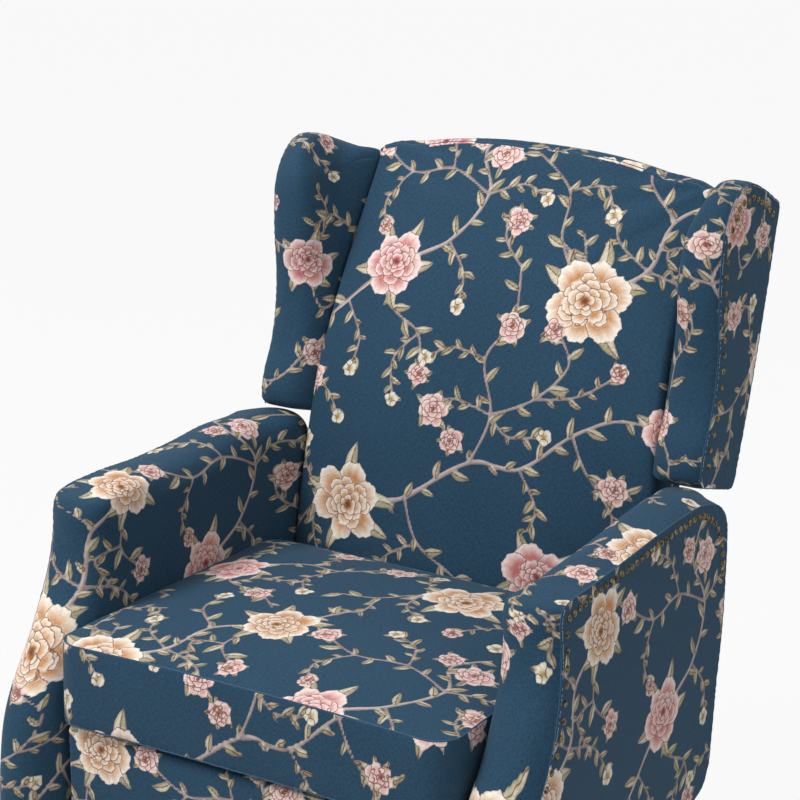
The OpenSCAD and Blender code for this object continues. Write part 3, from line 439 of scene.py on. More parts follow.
def layPanel(points, cloth):
    # one cloth panel: a grid primitive whose corners are laid on the given places
    rows, cols = points.shape[:2]
    bpy.ops.object.select_all(action="DESELECT")
    bpy.ops.mesh.primitive_grid_add(x_subdivisions=cols - 1, y_subdivisions=rows - 1, size=2, calc_uvs=True)
    panel = bpy.context.object
    mesh, co = panel.data, places(panel)
    i = np.rint((co[:, 0] + 1) / 2 * (cols - 1)).astype(int)
    j = np.rint((co[:, 1] + 1) / 2 * (rows - 1)).astype(int)
    setPlaces(panel, points[j, i])
    at = cornersOf(mesh)
    mesh.uv_layers[0].name = "cloth"
    writeUv(mesh.uv_layers["cloth"], cloth[j[at], i[at]])
    return panel


def resample(points, count):
    # the same line with evenly spaced places
    points = np.asarray(points, float)
    steps = np.r_[0, np.cumsum(np.linalg.norm(np.diff(points, axis=0), axis=1))]
    wanted = np.linspace(0, steps[-1], count + 1)
    return np.stack([np.interp(wanted, steps, points[:, k]) for k in range(points.shape[1])], -1)


curveSteps = 8  # places from one given point to the next


def curveThrough(points):
    # a smooth line through given points, its slopes weighed by the gaps beside them
    p = np.array(points, float)
    gap = np.linalg.norm(np.diff(p, axis=0), axis=1)
    way = np.diff(p, axis=0) / gap[:, None]
    inside = (way[:-1] * gap[1:, None] + way[1:] * gap[:-1, None]) / (gap[:-1] + gap[1:])[:, None]
    slope = np.concatenate([way[:1], inside, way[-1:]])
    t = np.linspace(0, 1, curveSteps, endpoint=False)[:, None]
    out = []
    for i, g in enumerate(gap):
        leaving = (1 + 2 * t) * (1 - t) ** 2 * p[i] + t * (1 - t) ** 2 * g * slope[i]
        out.append(leaving + t * t * (3 - 2 * t) * p[i + 1] + t * t * (t - 1) * g * slope[i + 1])
    return np.concatenate(out + [p[-1:]])


def betweenSides(ring, across, along):
    # fills a closed ring of four sides with a grid
    bottom = ring[:across + 1]
    right = ring[across:across + along + 1]
    top = ring[across + along:2 * across + along + 1][::-1]
    left = np.concatenate([ring[2 * across + along:], ring[:1]])[::-1]
    s = np.linspace(0, 1, across + 1)[None, :, None]
    t = np.linspace(0, 1, along + 1)[:, None, None]
    flat = (1 - t) * bottom[None] + t * top[None] + (1 - s) * left[:, None] + s * right[:, None]
    return flat - ((1 - s) * (1 - t) * bottom[0] + s * (1 - t) * bottom[-1] + s * t * top[-1]
        + (1 - s) * t * top[0])


def outwardNormals(ring, smooth):
    # for an anticlockwise ring, smoothed round its corners
    ahead, behind = np.roll(ring, -1, 0), np.roll(ring, 1, 0)
    way = ahead - behind
    normal = np.stack([way[:, 1], -way[:, 0]], -1)
    normal /= np.linalg.norm(normal, axis=1)[:, None]
    for _ in range(smooth):
        normal = (np.roll(normal, 1, 0) + normal * 2 + np.roll(normal, -1, 0)) / 4
    return normal / np.linalg.norm(normal, axis=1)[:, None]


# where each panel is cut from the cloth, in metres, beside the near face's own place
cuttings = {"farFace": 0.37, "eachBand": 0.21, "bandFoot": 0.05}


def boxedCover(name, sides, profile, place, step, laid=(0, 0), smooth=3, cuts=("own",) * 4,
        softness=(1,) * 4):
    # a cover sewn from two faces and the band between them, on an outline of four anticlockwise sides;
    # profile gives the band's places as (share of the way across, inset from the outline), far edge first;
    # each side's band is its own cut of cloth, or runs on from the far or the near face;
    # softness is how much of the profile's inset each side takes
    longest = [max(np.linalg.norm(np.diff(np.asarray(sides[k]), axis=0), axis=1).sum() for k in pair)
        for pair in ((0, 2), (1, 3))]
    across, along = (max(4, round(size / step)) for size in longest)
    counts = (across, along, across, along)
    ring = np.concatenate([resample(side, n)[:-1] for side, n in zip(sides, counts)])
    normal = outwardNormals(ring, smooth)
    soft = np.repeat(np.array(softness, float), counts)
    for _ in range(6):
        soft = (np.roll(soft, 1) + soft * 2 + np.roll(soft, -1)) / 4
    rise, inset = (np.array([p[k] for p in profile]) for k in (0, 1))
    lines = [ring - normal * w * soft[:, None] for w in inset]
    band = np.array([place(line, np.full(len(ring), h)) for line, h in zip(lines, rise)])
    laid = np.array(laid, float)
    panels = []
    for line, level, shift in ((lines[-1], rise[-1], 0), (lines[0], rise[0], cuttings["farFace"])):
        face = betweenSides(line, across, along)
        flat = face.reshape(-1, 2)
        solid = place(flat, np.full(len(flat), level)).reshape(face.shape[0], face.shape[1], 3)
        panels.append(layPanel(solid, face + laid + shift))
    climb = np.linalg.norm(np.diff(band, axis=0), axis=2)
    climb = np.concatenate([np.zeros((1, climb.shape[1])), np.cumsum(climb, axis=0)])
    run = np.r_[0, np.cumsum(np.linalg.norm(np.diff(np.r_[ring, ring[:1]], axis=0), axis=1))]
    start = 0
    for k, n in enumerate(counts):
        at = np.arange(start, start + n + 1)
        on = at % len(ring)
        if cuts[k] == "near":
            cloth = lines[-1][on][None] + normal[on][None] * (climb[-1, on] - climb[:, on])[..., None]
        elif cuts[k] == "far":
            cloth = lines[0][on][None] + normal[on][None] * climb[:, on][..., None] + cuttings["farFace"]
        else:
            cloth = np.stack([np.broadcast_to(run[at], climb[:, on].shape) + cuttings["eachBand"] * k,
                climb[:, on] + cuttings["bandFoot"]], -1)
        panels.append(layPanel(band[:, on], cloth + laid))
        start += n
    onlySelect(*panels)
    bpy.ops.object.join()
    cover = bpy.context.object
    cover.name = cover.data.name = name
    faceOutwards(merged=0.0002)
    return cover, {"ring": ring, "band": band, "counts": counts}


def seamLine(cover, seams, row, sides):
    # the corners of the mesh that lie on the seam at one edge of the band, along the sides named
    tree = KDTree(len(cover.data.vertices))
    for i, vertex in enumerate(cover.data.vertices):
        tree.insert(vertex.co, i)
    tree.balance()
    starts = np.r_[0, np.cumsum(seams["counts"])]
    line = []
    for side in sides:
        at = np.arange(starts[side], starts[side + 1] + 1) % len(seams["ring"])
        found = [tree.find(Vector(seams["band"][row, i]))[1] for i in at]
        line += found if not line or line[-1] != found[0] else found[1:]
    return line


# how the cloth takes the filling's pressure
filling = {"quality": 5, "mass": 0.3, "stretch": 25, "shear": 12, "bend": 0.8}


def plump(cover, held, pressure, most, frames=16):
    # the filling pushes the cover out like a cushion's, held where it is nailed, boarded or sewn down
    start = places(cover)
    group = cover.vertex_groups.new(name="held")
    weights = np.clip(held(start), 0, 1)
    for level in np.unique(np.round(weights, 1)):
        if level > 0:
            group.add([int(i) for i in np.nonzero(np.round(weights, 1) == level)[0]], float(level),
                "REPLACE")
    cloth = cover.modifiers.new("cloth", "CLOTH")
    settings = cloth.settings
    settings.quality = filling["quality"]
    settings.mass = filling["mass"]
    settings.tension_stiffness = settings.compression_stiffness = filling["stretch"]
    settings.shear_stiffness = filling["shear"]
    settings.bending_stiffness = filling["bend"]
    settings.use_pressure = True
    settings.uniform_pressure_force = pressure
    settings.effector_weights.gravity = 0
    settings.vertex_group_mass = "held"
    cloth.point_cache.frame_start = 1
    cloth.point_cache.frame_end = frames
    for frameNumber in range(1, frames + 1):
        bpy.context.scene.frame_set(frameNumber)
    onlySelect(cover)
    bpy.ops.object.modifier_apply(modifier="cloth")
    bpy.context.scene.frame_set(1)
    moved = places(cover) - start
    far = np.linalg.norm(moved, axis=1)
    limit = np.where(far > 1e-9, most * np.tanh(far / most) / np.maximum(far, 1e-9), 1)
    setPlaces(cover, start + moved * limit[:, None])
    cover.vertex_groups.clear()
    print(cover.name, "plumped by up to", round(float(far.max()) * 1000, 1), "mm")


def markSeams(cover, lines):
    # keeps for each corner of the cloth how far along the nearest seam it is, and how far from that seam
    mesh = cover.data
    tree = KDTree(sum(len(line) for line in lines) or 1)
    runs, co = [], places(cover)
    for line in lines:
        run = np.r_[0, np.cumsum(np.linalg.norm(np.diff(co[line], axis=0), axis=1))]
        for i, index in enumerate(line):
            tree.insert(Vector(co[index]), len(runs) + i)
        runs += list(run)
    tree.balance()
    seam = np.ones((len(co), 2))
    if lines:
        for i, place in enumerate(co):
            found = tree.find(Vector(place))
            seam[i] = (runs[found[1]], found[2])
    writeUv(mesh.uv_layers.new(name="seam"), seam[cornersOf(mesh)])
    return seam


# gathers beside the seams, in metres: how far apart and how high they are, and how far they reach
gather = {"pucker": 0.013, "height": 0.00040, "reach": 0.026, "sewnDown": 0.0005, "valley": 0.006,
    "drift": (0.071, 0.043, 0.117)}


def gatherSeams(cover, seam):
    # the stitching draws the cloth into small puckers beside each seam, and down a little along it
    run, gap = seam[:, 0], seam[:, 1]
    longWave, shortWave, strengthWave = gather["drift"]
    wander = np.sin(run * 2 * math.pi / longWave + 1.3) + 0.8 * np.sin(run * 2 * math.pi / shortWave)
    wave = np.sin(run * 2 * math.pi / gather["pucker"] + 1.5 * wander)
    strength = gather["height"] * (0.7 + 0.3 * np.sin(run * 2 * math.pi / strengthWave + 0.4))
    lift = wave * strength * (1 - ease(gap / gather["reach"]))
    lift = lift - gather["sewnDown"] * (1 - ease(gap / gather["valley"]))
    setPlaces(cover, places(cover) + normalsOf(cover) * lift[:, None])


def creaseSeams(cover, lines, sharp):
    # a sewn edge stays crisp when the cover is made finer
    pairs = {tuple(sorted(pair)) for line in lines for pair in zip(line[:-1], line[1:])}
    layer = cover.data.attributes.new("crease_edge", "FLOAT", "EDGE")
    layer.data.foreach_set("value", [sharp if tuple(sorted(edge.vertices)) in pairs else 0.0
        for edge in cover.data.edges])


def finishCover(cover, body, nodes, lines=(), sharp=0.55):
    # made finer, gathered along its seams, printed, and put in its CAD nodes' place
    onlySelect(cover)
    if lines:
        creaseSeams(cover, lines, sharp)
    finer = cover.modifiers.new("finer", "SUBSURF")
    finer.levels = finer.render_levels = 1
    bpy.ops.object.modifier_apply(modifier="finer")
    bpy.ops.object.shade_smooth()
    gatherSeams(cover, markSeams(cover, lines))
    printOn(cover)
    cover.data.materials.clear()
    cover.data.materials.append(printedLinen)
    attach(cover, body)
    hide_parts(*nodes)
    print(cover.name, "made:", len(cover.data.polygons), "faces")


# upholstery cloth: polyester woven like linen, with slubs, so it has a dry, matt face and a soft lift of
# light at its edges; the real thread is about 0.4 mm, and is drawn at 1.3 mm to show in the render
# the turned tones and the paler cloth beside the seams are a painted highlight along the sewn edges
linen = {"ground": "#1e3f56", "pale": "#325872", "deep": "#152e41", "thread": 0.0013,
    "turned": "#22425a", "turnedHighlight": "#41647f", "turnedThreads": 420.0, "seamHighlight": 1.5,
    "seamHighlightFrom": 0.0005, "seamHighlightTo": 0.0035, "relief": 0.0004}


def makePrintedLinen():
    material, tree, shader = newMaterial("printedLinenWeave", Roughness=0.86, Sheen_Weight=0.08,
        Sheen_Roughness=0.45, Sheen_Tint=(0.62, 0.74, 0.86, 1), Specular_IOR_Level=0.28)
    uv = addNode(tree, "ShaderNodeUVMap", uv_map="cloth").outputs["UV"]
    threads = addNode(tree, "ShaderNodeVectorMath", {0: uv}, operation="SCALE",
        Scale=1 / linen["thread"]).outputs[0]
    axes = addNode(tree, "ShaderNodeSeparateXYZ", {0: threads}).outputs
    yarns, thickened = [], []
    for axis in ("X", "Y"):
        turn = addNode(tree, "ShaderNodeMath", {0: axes[axis]}, operation="MULTIPLY", _1=math.pi).outputs[0]
        yarns.append(addNode(tree, "ShaderNodeMath", {0: turn}, operation="SINE").outputs[0])
    crossing = addNode(tree, "ShaderNodeMath", {0: yarns[0], 1: yarns[1]}, operation="MULTIPLY").outputs[0]
    # slubs are about four threads long and one wide, along the warp and along the weft
    for shape in ((0.9, 0.28, 1), (0.28, 0.9, 1)):
        longer = addNode(tree, "ShaderNodeVectorMath", {0: threads}, operation="MULTIPLY",
            _1=shape).outputs[0]
        thickened.append(addNode(tree, "ShaderNodeTexNoise", {"Vector": longer}, Scale=1.0,
            Detail=2.0).outputs[0])
    slubs = addNode(tree, "ShaderNodeMath", {0: thickened[0], 1: thickened[1]}, operation="ADD").outputs[0]
    heather = addNode(tree, "ShaderNodeMapRange", {0: slubs}, _1=0.72, _2=1.28, _3=0.0, _4=1.0).outputs[0]
    cloud = addNode(tree, "ShaderNodeTexNoise", {"Vector": uv}, Scale=9.0, Detail=3.0).outputs[0]
    ground = addNode(tree, "ShaderNodeMix", {0: heather}, data_type="RGBA", _6=paint(linen["deep"]),
        _7=paint(linen["pale"])).outputs[2]
    ground = addNode(tree, "ShaderNodeMix", {6: ground}, data_type="RGBA", _0=0.65,
        _7=paint(linen["ground"])).outputs[2]
    ink = addNode(tree, "ShaderNodeVertexColor", layer_name="printInk").outputs["Color"]
    marks = addNode(tree, "ShaderNodeSeparateColor", {0: addNode(tree, "ShaderNodeVertexColor",
        layer_name="printMarks").outputs["Color"]}).outputs
    cover = addNode(tree, "ShaderNodeMapRange", {0: marks[0]}, interpolation_type="SMOOTHSTEP", _1=0.44,
        _2=0.56).outputs[0]
    folds = []
    for channel in (marks[1], marks[2]):
        centred = addNode(tree, "ShaderNodeMath", {0: channel}, operation="SUBTRACT", _1=0.5).outputs[0]
        folds.append(addNode(tree, "ShaderNodeMath", {0: centred}, operation="ABSOLUTE").outputs[0])
    nearest = addNode(tree, "ShaderNodeMath", {0: folds[0], 1: folds[1]}, operation="MINIMUM").outputs[0]
    line = addNode(tree, "ShaderNodeMapRange", {0: nearest}, interpolation_type="SMOOTHSTEP",
        _1=clothPrint["lineFull"], _2=clothPrint["lineGone"], _3=clothPrint["lineDark"], _4=0.0).outputs[0]
    rim = addNode(tree, "ShaderNodeMapRange", {0: marks[0]}, interpolation_type="SMOOTHSTEP", _1=0.5,
        _2=0.95, _3=clothPrint["rimDark"], _4=0.0).outputs[0]
    outline = addNode(tree, "ShaderNodeMath", {0: line, 1: rim}, operation="MAXIMUM").outputs[0]
    darkInk = addNode(tree, "ShaderNodeMix", {6: ink}, data_type="RGBA", blend_type="MULTIPLY", _0=1.0,
        _7=clothPrint["lineTint"]).outputs[2]
    drawn = addNode(tree, "ShaderNodeMix", {0: outline, 6: ink, 7: darkInk}, data_type="RGBA").outputs[2]
    colour = addNode(tree, "ShaderNodeMix", {0: cover, 6: ground, 7: drawn}, data_type="RGBA").outputs[2]
    worn = addNode(tree, "ShaderNodeMapRange", {0: slubs}, _1=0.7, _2=1.3, _3=0.91, _4=1.12).outputs[0]
    dull = addNode(tree, "ShaderNodeMapRange", {0: cloud}, _1=0.3, _2=0.7, _3=0.94, _4=1.05).outputs[0]
    shade = addNode(tree, "ShaderNodeMath", {0: worn, 1: dull}, operation="MULTIPLY").outputs[0]
    # a painted highlight along the raised turned edges of the seams: the cloth beside each seam is made a
    # little paler
    seam = addNode(tree, "ShaderNodeUVMap", uv_map="seam").outputs["UV"]
    seamGap = addNode(tree, "ShaderNodeSeparateXYZ", {0: seam}).outputs["Y"]
    seamHighlight = addNode(tree, "ShaderNodeMapRange", {0: seamGap}, interpolation_type="SMOOTHSTEP",
        _1=linen["seamHighlightFrom"], _2=linen["seamHighlightTo"], _3=linen["seamHighlight"], _4=1.0).outputs[0]
    shade = addNode(tree, "ShaderNodeMath", {0: shade, 1: seamHighlight}, operation="MULTIPLY").outputs[0]
    colour = addNode(tree, "ShaderNodeVectorMath", {0: colour, "Scale": shade}, operation="SCALE").outputs[0]
    tree.links.new(colour, shader.inputs["Base Color"])
    height = addNode(tree, "ShaderNodeMath", {0: crossing, 1: slubs}, operation="ADD").outputs[0]
    bump = addNode(tree, "ShaderNodeBump", {"Height": height}, Strength=0.35,
        Distance=linen["relief"]).outputs[0]
    tree.links.new(bump, shader.inputs["Normal"])
    return material


def makeSeamLinen():
    # the same linen where a seam turns it: unprinted, and paler as a painted highlight along the seam
    material, tree, shader = newMaterial("turnedLinenEdge", Roughness=0.84, Sheen_Weight=0.1,
        Sheen_Roughness=0.45, Specular_IOR_Level=0.28)
    uv = addNode(tree, "ShaderNodeUVMap", uv_map="cloth").outputs["UV"]
    thread = addNode(tree, "ShaderNodeTexNoise", {"Vector": uv}, Scale=linen["turnedThreads"],
        Detail=2.0).outputs[0]
    tone = addNode(tree, "ShaderNodeMix", {0: thread}, data_type="RGBA", _6=paint(linen["turned"]),
        _7=paint(linen["turnedHighlight"]))
    tree.links.new(tone.outputs[2], shader.inputs["Base Color"])
    bump = addNode(tree, "ShaderNodeBump", {"Height": thread}, Strength=0.5,
        Distance=linen["relief"]).outputs[0]
    tree.links.new(bump, shader.inputs["Normal"])
    return material


printSheet = drawPrint()
print("print drawn")
printedLinen = makePrintedLinen()
seamLinen = makeSeamLinen()

# topstitching: a pale blue polyester thread, sunk a little into the cloth beside the seam; real stitches
# are about 3 mm long and 0.6 mm thick, and are drawn coarser to show in the render
thread = {"colour": "#8fa9bf", "shade": "#6f8ba2", "radius": 0.00055, "stitch": 0.0042, "pitch": 0.0062,
    "beside": 0.0028, "proud": 0.4}


def makeThread():
    # twisted filament polyester: a soft gloss, broken by its twist every 0.7 mm
    material, tree, shader = newMaterial("polyesterThread", Roughness=0.5, Sheen_Weight=0.2)
    where = addNode(tree, "ShaderNodeTexCoord").outputs["Object"]
    twist = addNode(tree, "ShaderNodeTexNoise", {"Vector": where}, Scale=1500.0, Detail=1.0).outputs[0]
    tone = addNode(tree, "ShaderNodeMix", {0: twist}, data_type="RGBA", _6=paint(thread["shade"]),
        _7=paint(thread["colour"]))
    tree.links.new(tone.outputs[2], shader.inputs["Base Color"])
    return material


stitchThread = makeThread()


def copiesOf(shape, mats, name, body, material):
    # one mesh of many copies of a small shape, each set in its place
    co = places(shape)
    count = len(co)
    faces = [tuple(face.vertices) for face in shape.data.polygons]
    everything = np.concatenate([co @ np.array(m.to_3x3()).T + np.array(m.translation) for m in mats])
    mesh = bpy.data.meshes.new(name)
    mesh.from_pydata(everything.tolist(), [], [tuple(i + k * count for i in face) for k in range(len(mats))
        for face in faces])
    piece = bpy.data.objects.new(name, mesh)
    bpy.context.scene.collection.objects.link(piece)
    bpy.data.objects.remove(shape)
    mesh.materials.append(material)
    onlySelect(piece)
    bpy.ops.object.shade_smooth()
    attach(piece, body)
    print(name, "made:", len(mats), "copies")
    return piece


def stitchAlong(name, cover, line, inward, body):
    # stitches lie along a seam, a little to the side of it that inward points to
    path = np.concatenate([places(cover)[line], normalsOf(cover)[line]], 1)
    whole = np.linalg.norm(np.diff(path[:, :3], axis=0), axis=1).sum()
    path = resample(path, round(whole / thread["pitch"]))
    bpy.ops.object.select_all(action="DESELECT")
    bpy.ops.mesh.primitive_uv_sphere_add(segments=6, ring_count=6, radius=thread["radius"])
    stitch = bpy.context.object
    setPlaces(stitch, places(stitch) * np.array([1, 1, thread["stitch"] / 2 / thread["radius"]]))
    mats = []
    for i in range(len(path) - 1):
        here, up = path[i, :3], Vector(path[i, 3:]).normalized()
        way = Vector(path[i + 1, :3] - here).normalized()
        side = way.cross(up).normalized()
        if side.dot(Vector(inward)) < 0:
            side = -side
        place = Vector(here) + side * thread["beside"] + up * thread["radius"] * thread["proud"]
        turn = way.to_track_quat("Z", "Y").to_matrix().to_4x4()
        mats.append(Matrix.Translation(place) @ turn)
    copiesOf(stitch, mats, name, body, stitchThread)


# radius of a seam's turned edge
lipSizes = {"cover": 0.0008, "seatTop": 0.0010, "seatLow": 0.0013}


def lipAlong(name, cover, line, radius, body, closed=False):
    # the turned edge of cloth that stands a little proud along a sewn seam
    co = places(cover)[line]
    curve = bpy.data.curves.new(name, "CURVE")
    curve.dimensions = "3D"
    curve.bevel_depth = radius
    curve.bevel_resolution = 1
    spline = curve.splines.new("POLY")
    co = co[:-1] if closed else co
    spline.points.add(len(co) - 1)
    spline.points.foreach_set("co", np.c_[co, np.ones(len(co))].ravel())
    spline.use_cyclic_u = closed
    curve.use_fill_caps = True
    lip = bpy.data.objects.new(name, curve)
    bpy.context.scene.collection.objects.link(lip)
    onlySelect(lip)
    bpy.ops.object.convert(target="MESH")
    lip = bpy.context.object
    mesh = lip.data
    whole = np.linalg.norm(np.diff(co, axis=0), axis=1).sum()
    mesh.uv_layers[0].name = "cloth"
    writeUv(mesh.uv_layers["cloth"], readUv(mesh.uv_layers["cloth"]) * (whole, 2 * math.pi * radius))
    writeUv(mesh.uv_layers.new(name="seam"), np.tile([0.0, 0.05], (len(mesh.loops), 1)))
    # its linen is paler than the cover: a painted highlight along the seam
    mesh.materials.append(seamLinen)
    bpy.ops.object.shade_smooth()
    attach(lip, body)


# arms: their sizes in metres, as in the frame
arm = {"inner": 0.292, "outer": 0.370, "flare": 0.013, "frontZ": 0.646, "rise": 0.016, "front": 0.240,
    "foot": 0.331,
    "rear": 0.200, "bottomZ": 0.140, "cutAngle": 22.5, "swellTop": 0.016, "swellFoot": 0.046,
    "crown": 0.006, "heaped": 0.022, "rearFill": 0.013}
# hand-stretched covers differ a little from side to side: how much fuller the filling lifts each top
lifts = {"arm": {"left": 0.005, "right": -0.007}, "wing": {"left": 0.0055, "right": -0.0045}}


def armSideX(z):
    # the outer side flares towards the floor
    return arm["outer"] + arm["flare"] * ease((arm["frontZ"] + arm["rise"] - z) / 0.220)


def armCutZ(y):
    # the lower edge climbs towards the rear
    return arm["bottomZ"] + (y + 0.200) * math.tan(math.radians(arm["cutAngle"]))


def below(drop):
    # height of a place under the arm's front top
    return arm["frontZ"] - drop


def swell(t):
    # 0 at both edges and 1 between them
    return 1 - np.abs(2 * t - 1) ** 2.4


def armSides(lift):
    # the arm's four edges in the side view, as depth and height: bottom, rear, top, front
    rear, front, foot, top, low = (arm[k] for k in ("rear", "front", "foot", "frontZ", "bottomZ"))
    rise = arm["rise"] + lift
    heel = armCutZ(rear - 0.062)
    bottom = [(-foot + 0.010, low), (-0.2, low), (rear - 0.062, heel)]
    back = curveThrough([(rear - 0.062, heel), (rear - 0.047, heel + 0.024), (rear - 0.041, heel + 0.066),
        (rear - 0.033, below(0.216)), (rear - 0.010, below(0.100)), (rear - 0.001, below(0.050)),
        (rear - 0.001, top - 0.020), (rear - 0.010, top - 0.004)])
    over = curveThrough([(rear - 0.010, top - 0.004), (rear - 0.022, top + 0.005),
        (rear - 0.066, top + rise - 0.002), (rear - 0.125, top + rise),
        (rear - 0.190, top + rise * 0.72 + lift * 0.4), (rear - 0.270, top + rise * 0.40 + lift * 0.4),
        (-front + 0.075, top + 0.003), (-front + 0.014, top - 0.002), (-front + 0.005, top - 0.005)])
    down = curveThrough([(-front + 0.005, top - 0.005), (-front + 0.0005, top - 0.014),
        (-front, top - 0.050), (-front - 0.007, below(0.103)), (-front - 0.022, below(0.147)),
        (-front - 0.043, below(0.192)), (-foot + 0.023, below(0.234)), (-foot + 0.007, below(0.274)),
        (-foot - 0.002, below(0.330)), (-foot - 0.005, below(0.406)), (-foot - 0.005, low + 0.040),
        (-foot - 0.004, low + 0.012), (-foot + 0.010, low)])
    return [bottom, back, over, down]


def armPlace(flat, level):
    y, z = flat[:, 0], flat[:, 1]
    forward = ease((-arm["front"] + 0.030 - y) / 0.030)
    swellDeep = mixed(arm["swellTop"], arm["swellFoot"], ease((below(0.080) - z) / 0.190))
    puff = swell(level)
    # behind the seat cushion the inner padding fills the room up to the back
    inner = arm["inner"] - arm["rearFill"] * ease((y - 0.120) / 0.05)
    x = mixed(inner, armSideX(z), level)
    # the padding heaps up a little towards the rear of the top, and rolls over behind
    rounded = mixed(0.002, arm["crown"] + 0.002, ease((y + 0.02) / 0.15))
    crown = rounded * ease((z - arm["frontZ"] + 0.030) / 0.030)
    behind = ease((y - arm["rear"] + 0.065) / 0.045) * ease((z - below(0.30)) / 0.14) * arm["heaped"]
    innerRoll = swell(np.clip(level + 0.22, 0, 1))
    return np.stack([x, y - puff * forward * swellDeep + innerRoll * behind, z + puff * crown], -1)


armProfile = [(0.0, 0.0140), (0.012, 0.0085), (0.04, 0.0045), (0.085, 0.0018), (0.14, 0.0003), (0.22, 0),
    (0.31, 0), (0.40, 0), (0.49, 0), (0.58, 0), (0.67, 0), (0.76, 0), (0.85, 0), (0.93, 0), (0.975, 0),
    (1.0, 0)]


def mirrorPiece(piece, name):
    # the right-hand piece is the left one turned over
    setPlaces(piece, places(piece) * np.array([-1, 1, 1]))
    onlySelect(piece)
    faceOutwards()
    piece.name = piece.data.name = name


def armHeld(start):
    # the outer panel is boarded, the other sides are padded over the frame
    y, z = start[:, 1], start[:, 2]
    outer = ease((np.abs(start[:, 0]) - armSideX(z) + 0.008) / 0.006)
    foot = ease((0.02 - (z - np.maximum(arm["bottomZ"], armCutZ(y)))) / 0.012)
    return np.maximum(outer, foot)


for side, laid in (("left", (0.11, 0.05)), ("right", (0.40, 0.31))):
    cover, seams = boxedCover("armCover" + side.title(), armSides(lifts["arm"][side]), armProfile, armPlace,
        step=0.0055, laid=laid, cuts=("own", "own", "far", "far"), softness=(0.3, 0.6, 1, 0.5))
    outerSeam = seamLine(cover, seams, -1, (1, 2, 3))
    frontSeam = seamLine(cover, seams, -1, (3,))
    plump(cover, armHeld, pressure=2.0, most=0.006, frames=12)
    if side == "right":
        mirrorPiece(cover, "armCoverRight")
    finishCover(cover, "chassis", ["arm_cover_" + side], lines=[outerSeam])
    stitchAlong("armStitches" + side.title(), cover, frontSeam, (0, 1, 0), "chassis")
    lipAlong("armLip" + side.title(), cover, outerSeam, lipSizes["cover"], "chassis")


# seat cushion: a boxed foam block, its crisp top seam over a straight boxing
seat = {"half": 0.289, "front": 0.349, "rear": 0.130, "corner": 0.034, "low": 0.383, "top": 0.493,
    "crown": 0.024,
    "pull": 0.004}


def roundedSides(half, low, high, r, pull):
    # four sides of a cushion's plan; each takes half of its two rounded corners
    corners = []
    for cx, cy, a0 in ((half - r, low + r, -90), (half - r, high - r, 0), (-half + r, high - r, 90),
        (-half + r, low + r, 180)):
        corners.append([(cx + r * math.cos(math.radians(a0 + a)), cy + r * math.sin(math.radians(a0 + a)))
            for a in np.linspace(0, 90, 13)])
    sides = []
    for k in range(4):
        before, after = corners[(k + 3) % 4], corners[k]
        a, b = np.array(before[-1]), np.array(after[0])
        way = b - a
        inward = np.array([-way[1], way[0]]) / np.linalg.norm(way)
        straight = [a + way * t + inward * pull * (1 - (2 * t - 1) ** 2)
            for t in np.linspace(0, 1, 17)[1:-1]]
        sides.append(np.array(before[6:] + [tuple(p) for p in straight] + after[:7]))
    return sides


def seatPlace(flat, level):
    x, y = flat[:, 0], flat[:, 1]
    mid = (seat["rear"] - seat["front"]) / 2
    away = np.abs(x / seat["half"]) ** 2.6
    deep = np.abs((y - mid) / (seat["rear"] - mid)) ** 2.6
    crown = np.clip(1 - away, 0, 1) ** 0.7 * np.clip(1 - deep, 0, 1) ** 0.7
    z = mixed(seat["low"], seat["top"], level) + (level > 0.999) * crown * seat["crown"]
    return np.stack([x, y, z], -1)


seatProfile = [(0, 0.006), (0.02, 0.002), (0.06, 0), (0.15, 0), (0.25, 0), (0.35, 0), (0.45, 0), (0.55, 0),
    (0.65, 0), (0.75, 0), (0.84, 0), (0.92, 0), (0.97, 0.0005), (1.0, 0.0015)]


def seatHeld(start):
    z = start[:, 2]
    return np.maximum(ease((seat["low"] + 0.012 - z) / 0.010), 0.55 * (np.abs(z - seat["top"]) < 0.004))


seatSides = roundedSides(seat["half"], -seat["front"], seat["rear"], seat["corner"], seat["pull"])
cover, seatSeams = boxedCover("seatCushion", seatSides, seatProfile, seatPlace, step=0.0055,
    laid=(0.02, 0.13), smooth=6)
seatLines = [seamLine(cover, seatSeams, -1, (0, 1, 2, 3)), seamLine(cover, seatSeams, 1, (0, 1, 2, 3))]
plump(cover, seatHeld, pressure=3.0, most=0.012)
finishCover(cover, "seat", ["seat_cushion"], lines=seatLines)
lipAlong("seatTopLip", cover, seatLines[0], lipSizes["seatTop"], "seat", closed=True)
lipAlong("seatLowLip", cover, seatLines[1], lipSizes["seatLow"], "seat", closed=True)


# back, in its own leaning plane: depth forward of its rear face, height up that face
back = {"lean": 15.5, "rear": 0.218, "low": 0.412, "half": 0.262, "length": 0.613, "arch": 0.038,
    "deep": 0.100,
    "topDeep": 0.036, "lowDeep": 0.068, "crown": 0.020, "thickAt": 0.290, "frame": 0.026, "ears": 0.014,
    "lowWide": 1.054, "topWide": 0.972, "sunk": 0.014}
# the rear cover's two faces, as depth forward of the frame's rear
rearCover = {"inFrame": 0.028, "behind": -0.0015, "over": 0.0012}


def leaning(x, v, u):
    a = math.radians(back["lean"])
    return np.stack([x, back["rear"] - v * math.cos(a) + u * math.sin(a),
        back["low"] + v * math.sin(a) + u * math.cos(a)], -1)


def creaseDeep(u):
    # how far forward of the frame the pad meets the wings
    over = np.clip((u - back["thickAt"]) / (back["length"] - back["thickAt"]), 0, 1.2)
    under = np.clip((back["thickAt"] - u) / back["thickAt"], 0, 1)
    return np.where(u > back["thickAt"], mixed(back["deep"], back["topDeep"], over ** 1.7),
        mixed(back["deep"], back["lowDeep"], under ** 1.2))


def topEdge(x):
    across = np.abs(x / back["half"])
    return back["length"] + back["arch"] * (1 - across ** 2.6) + back["ears"] * ease((across - 0.70) / 0.30)


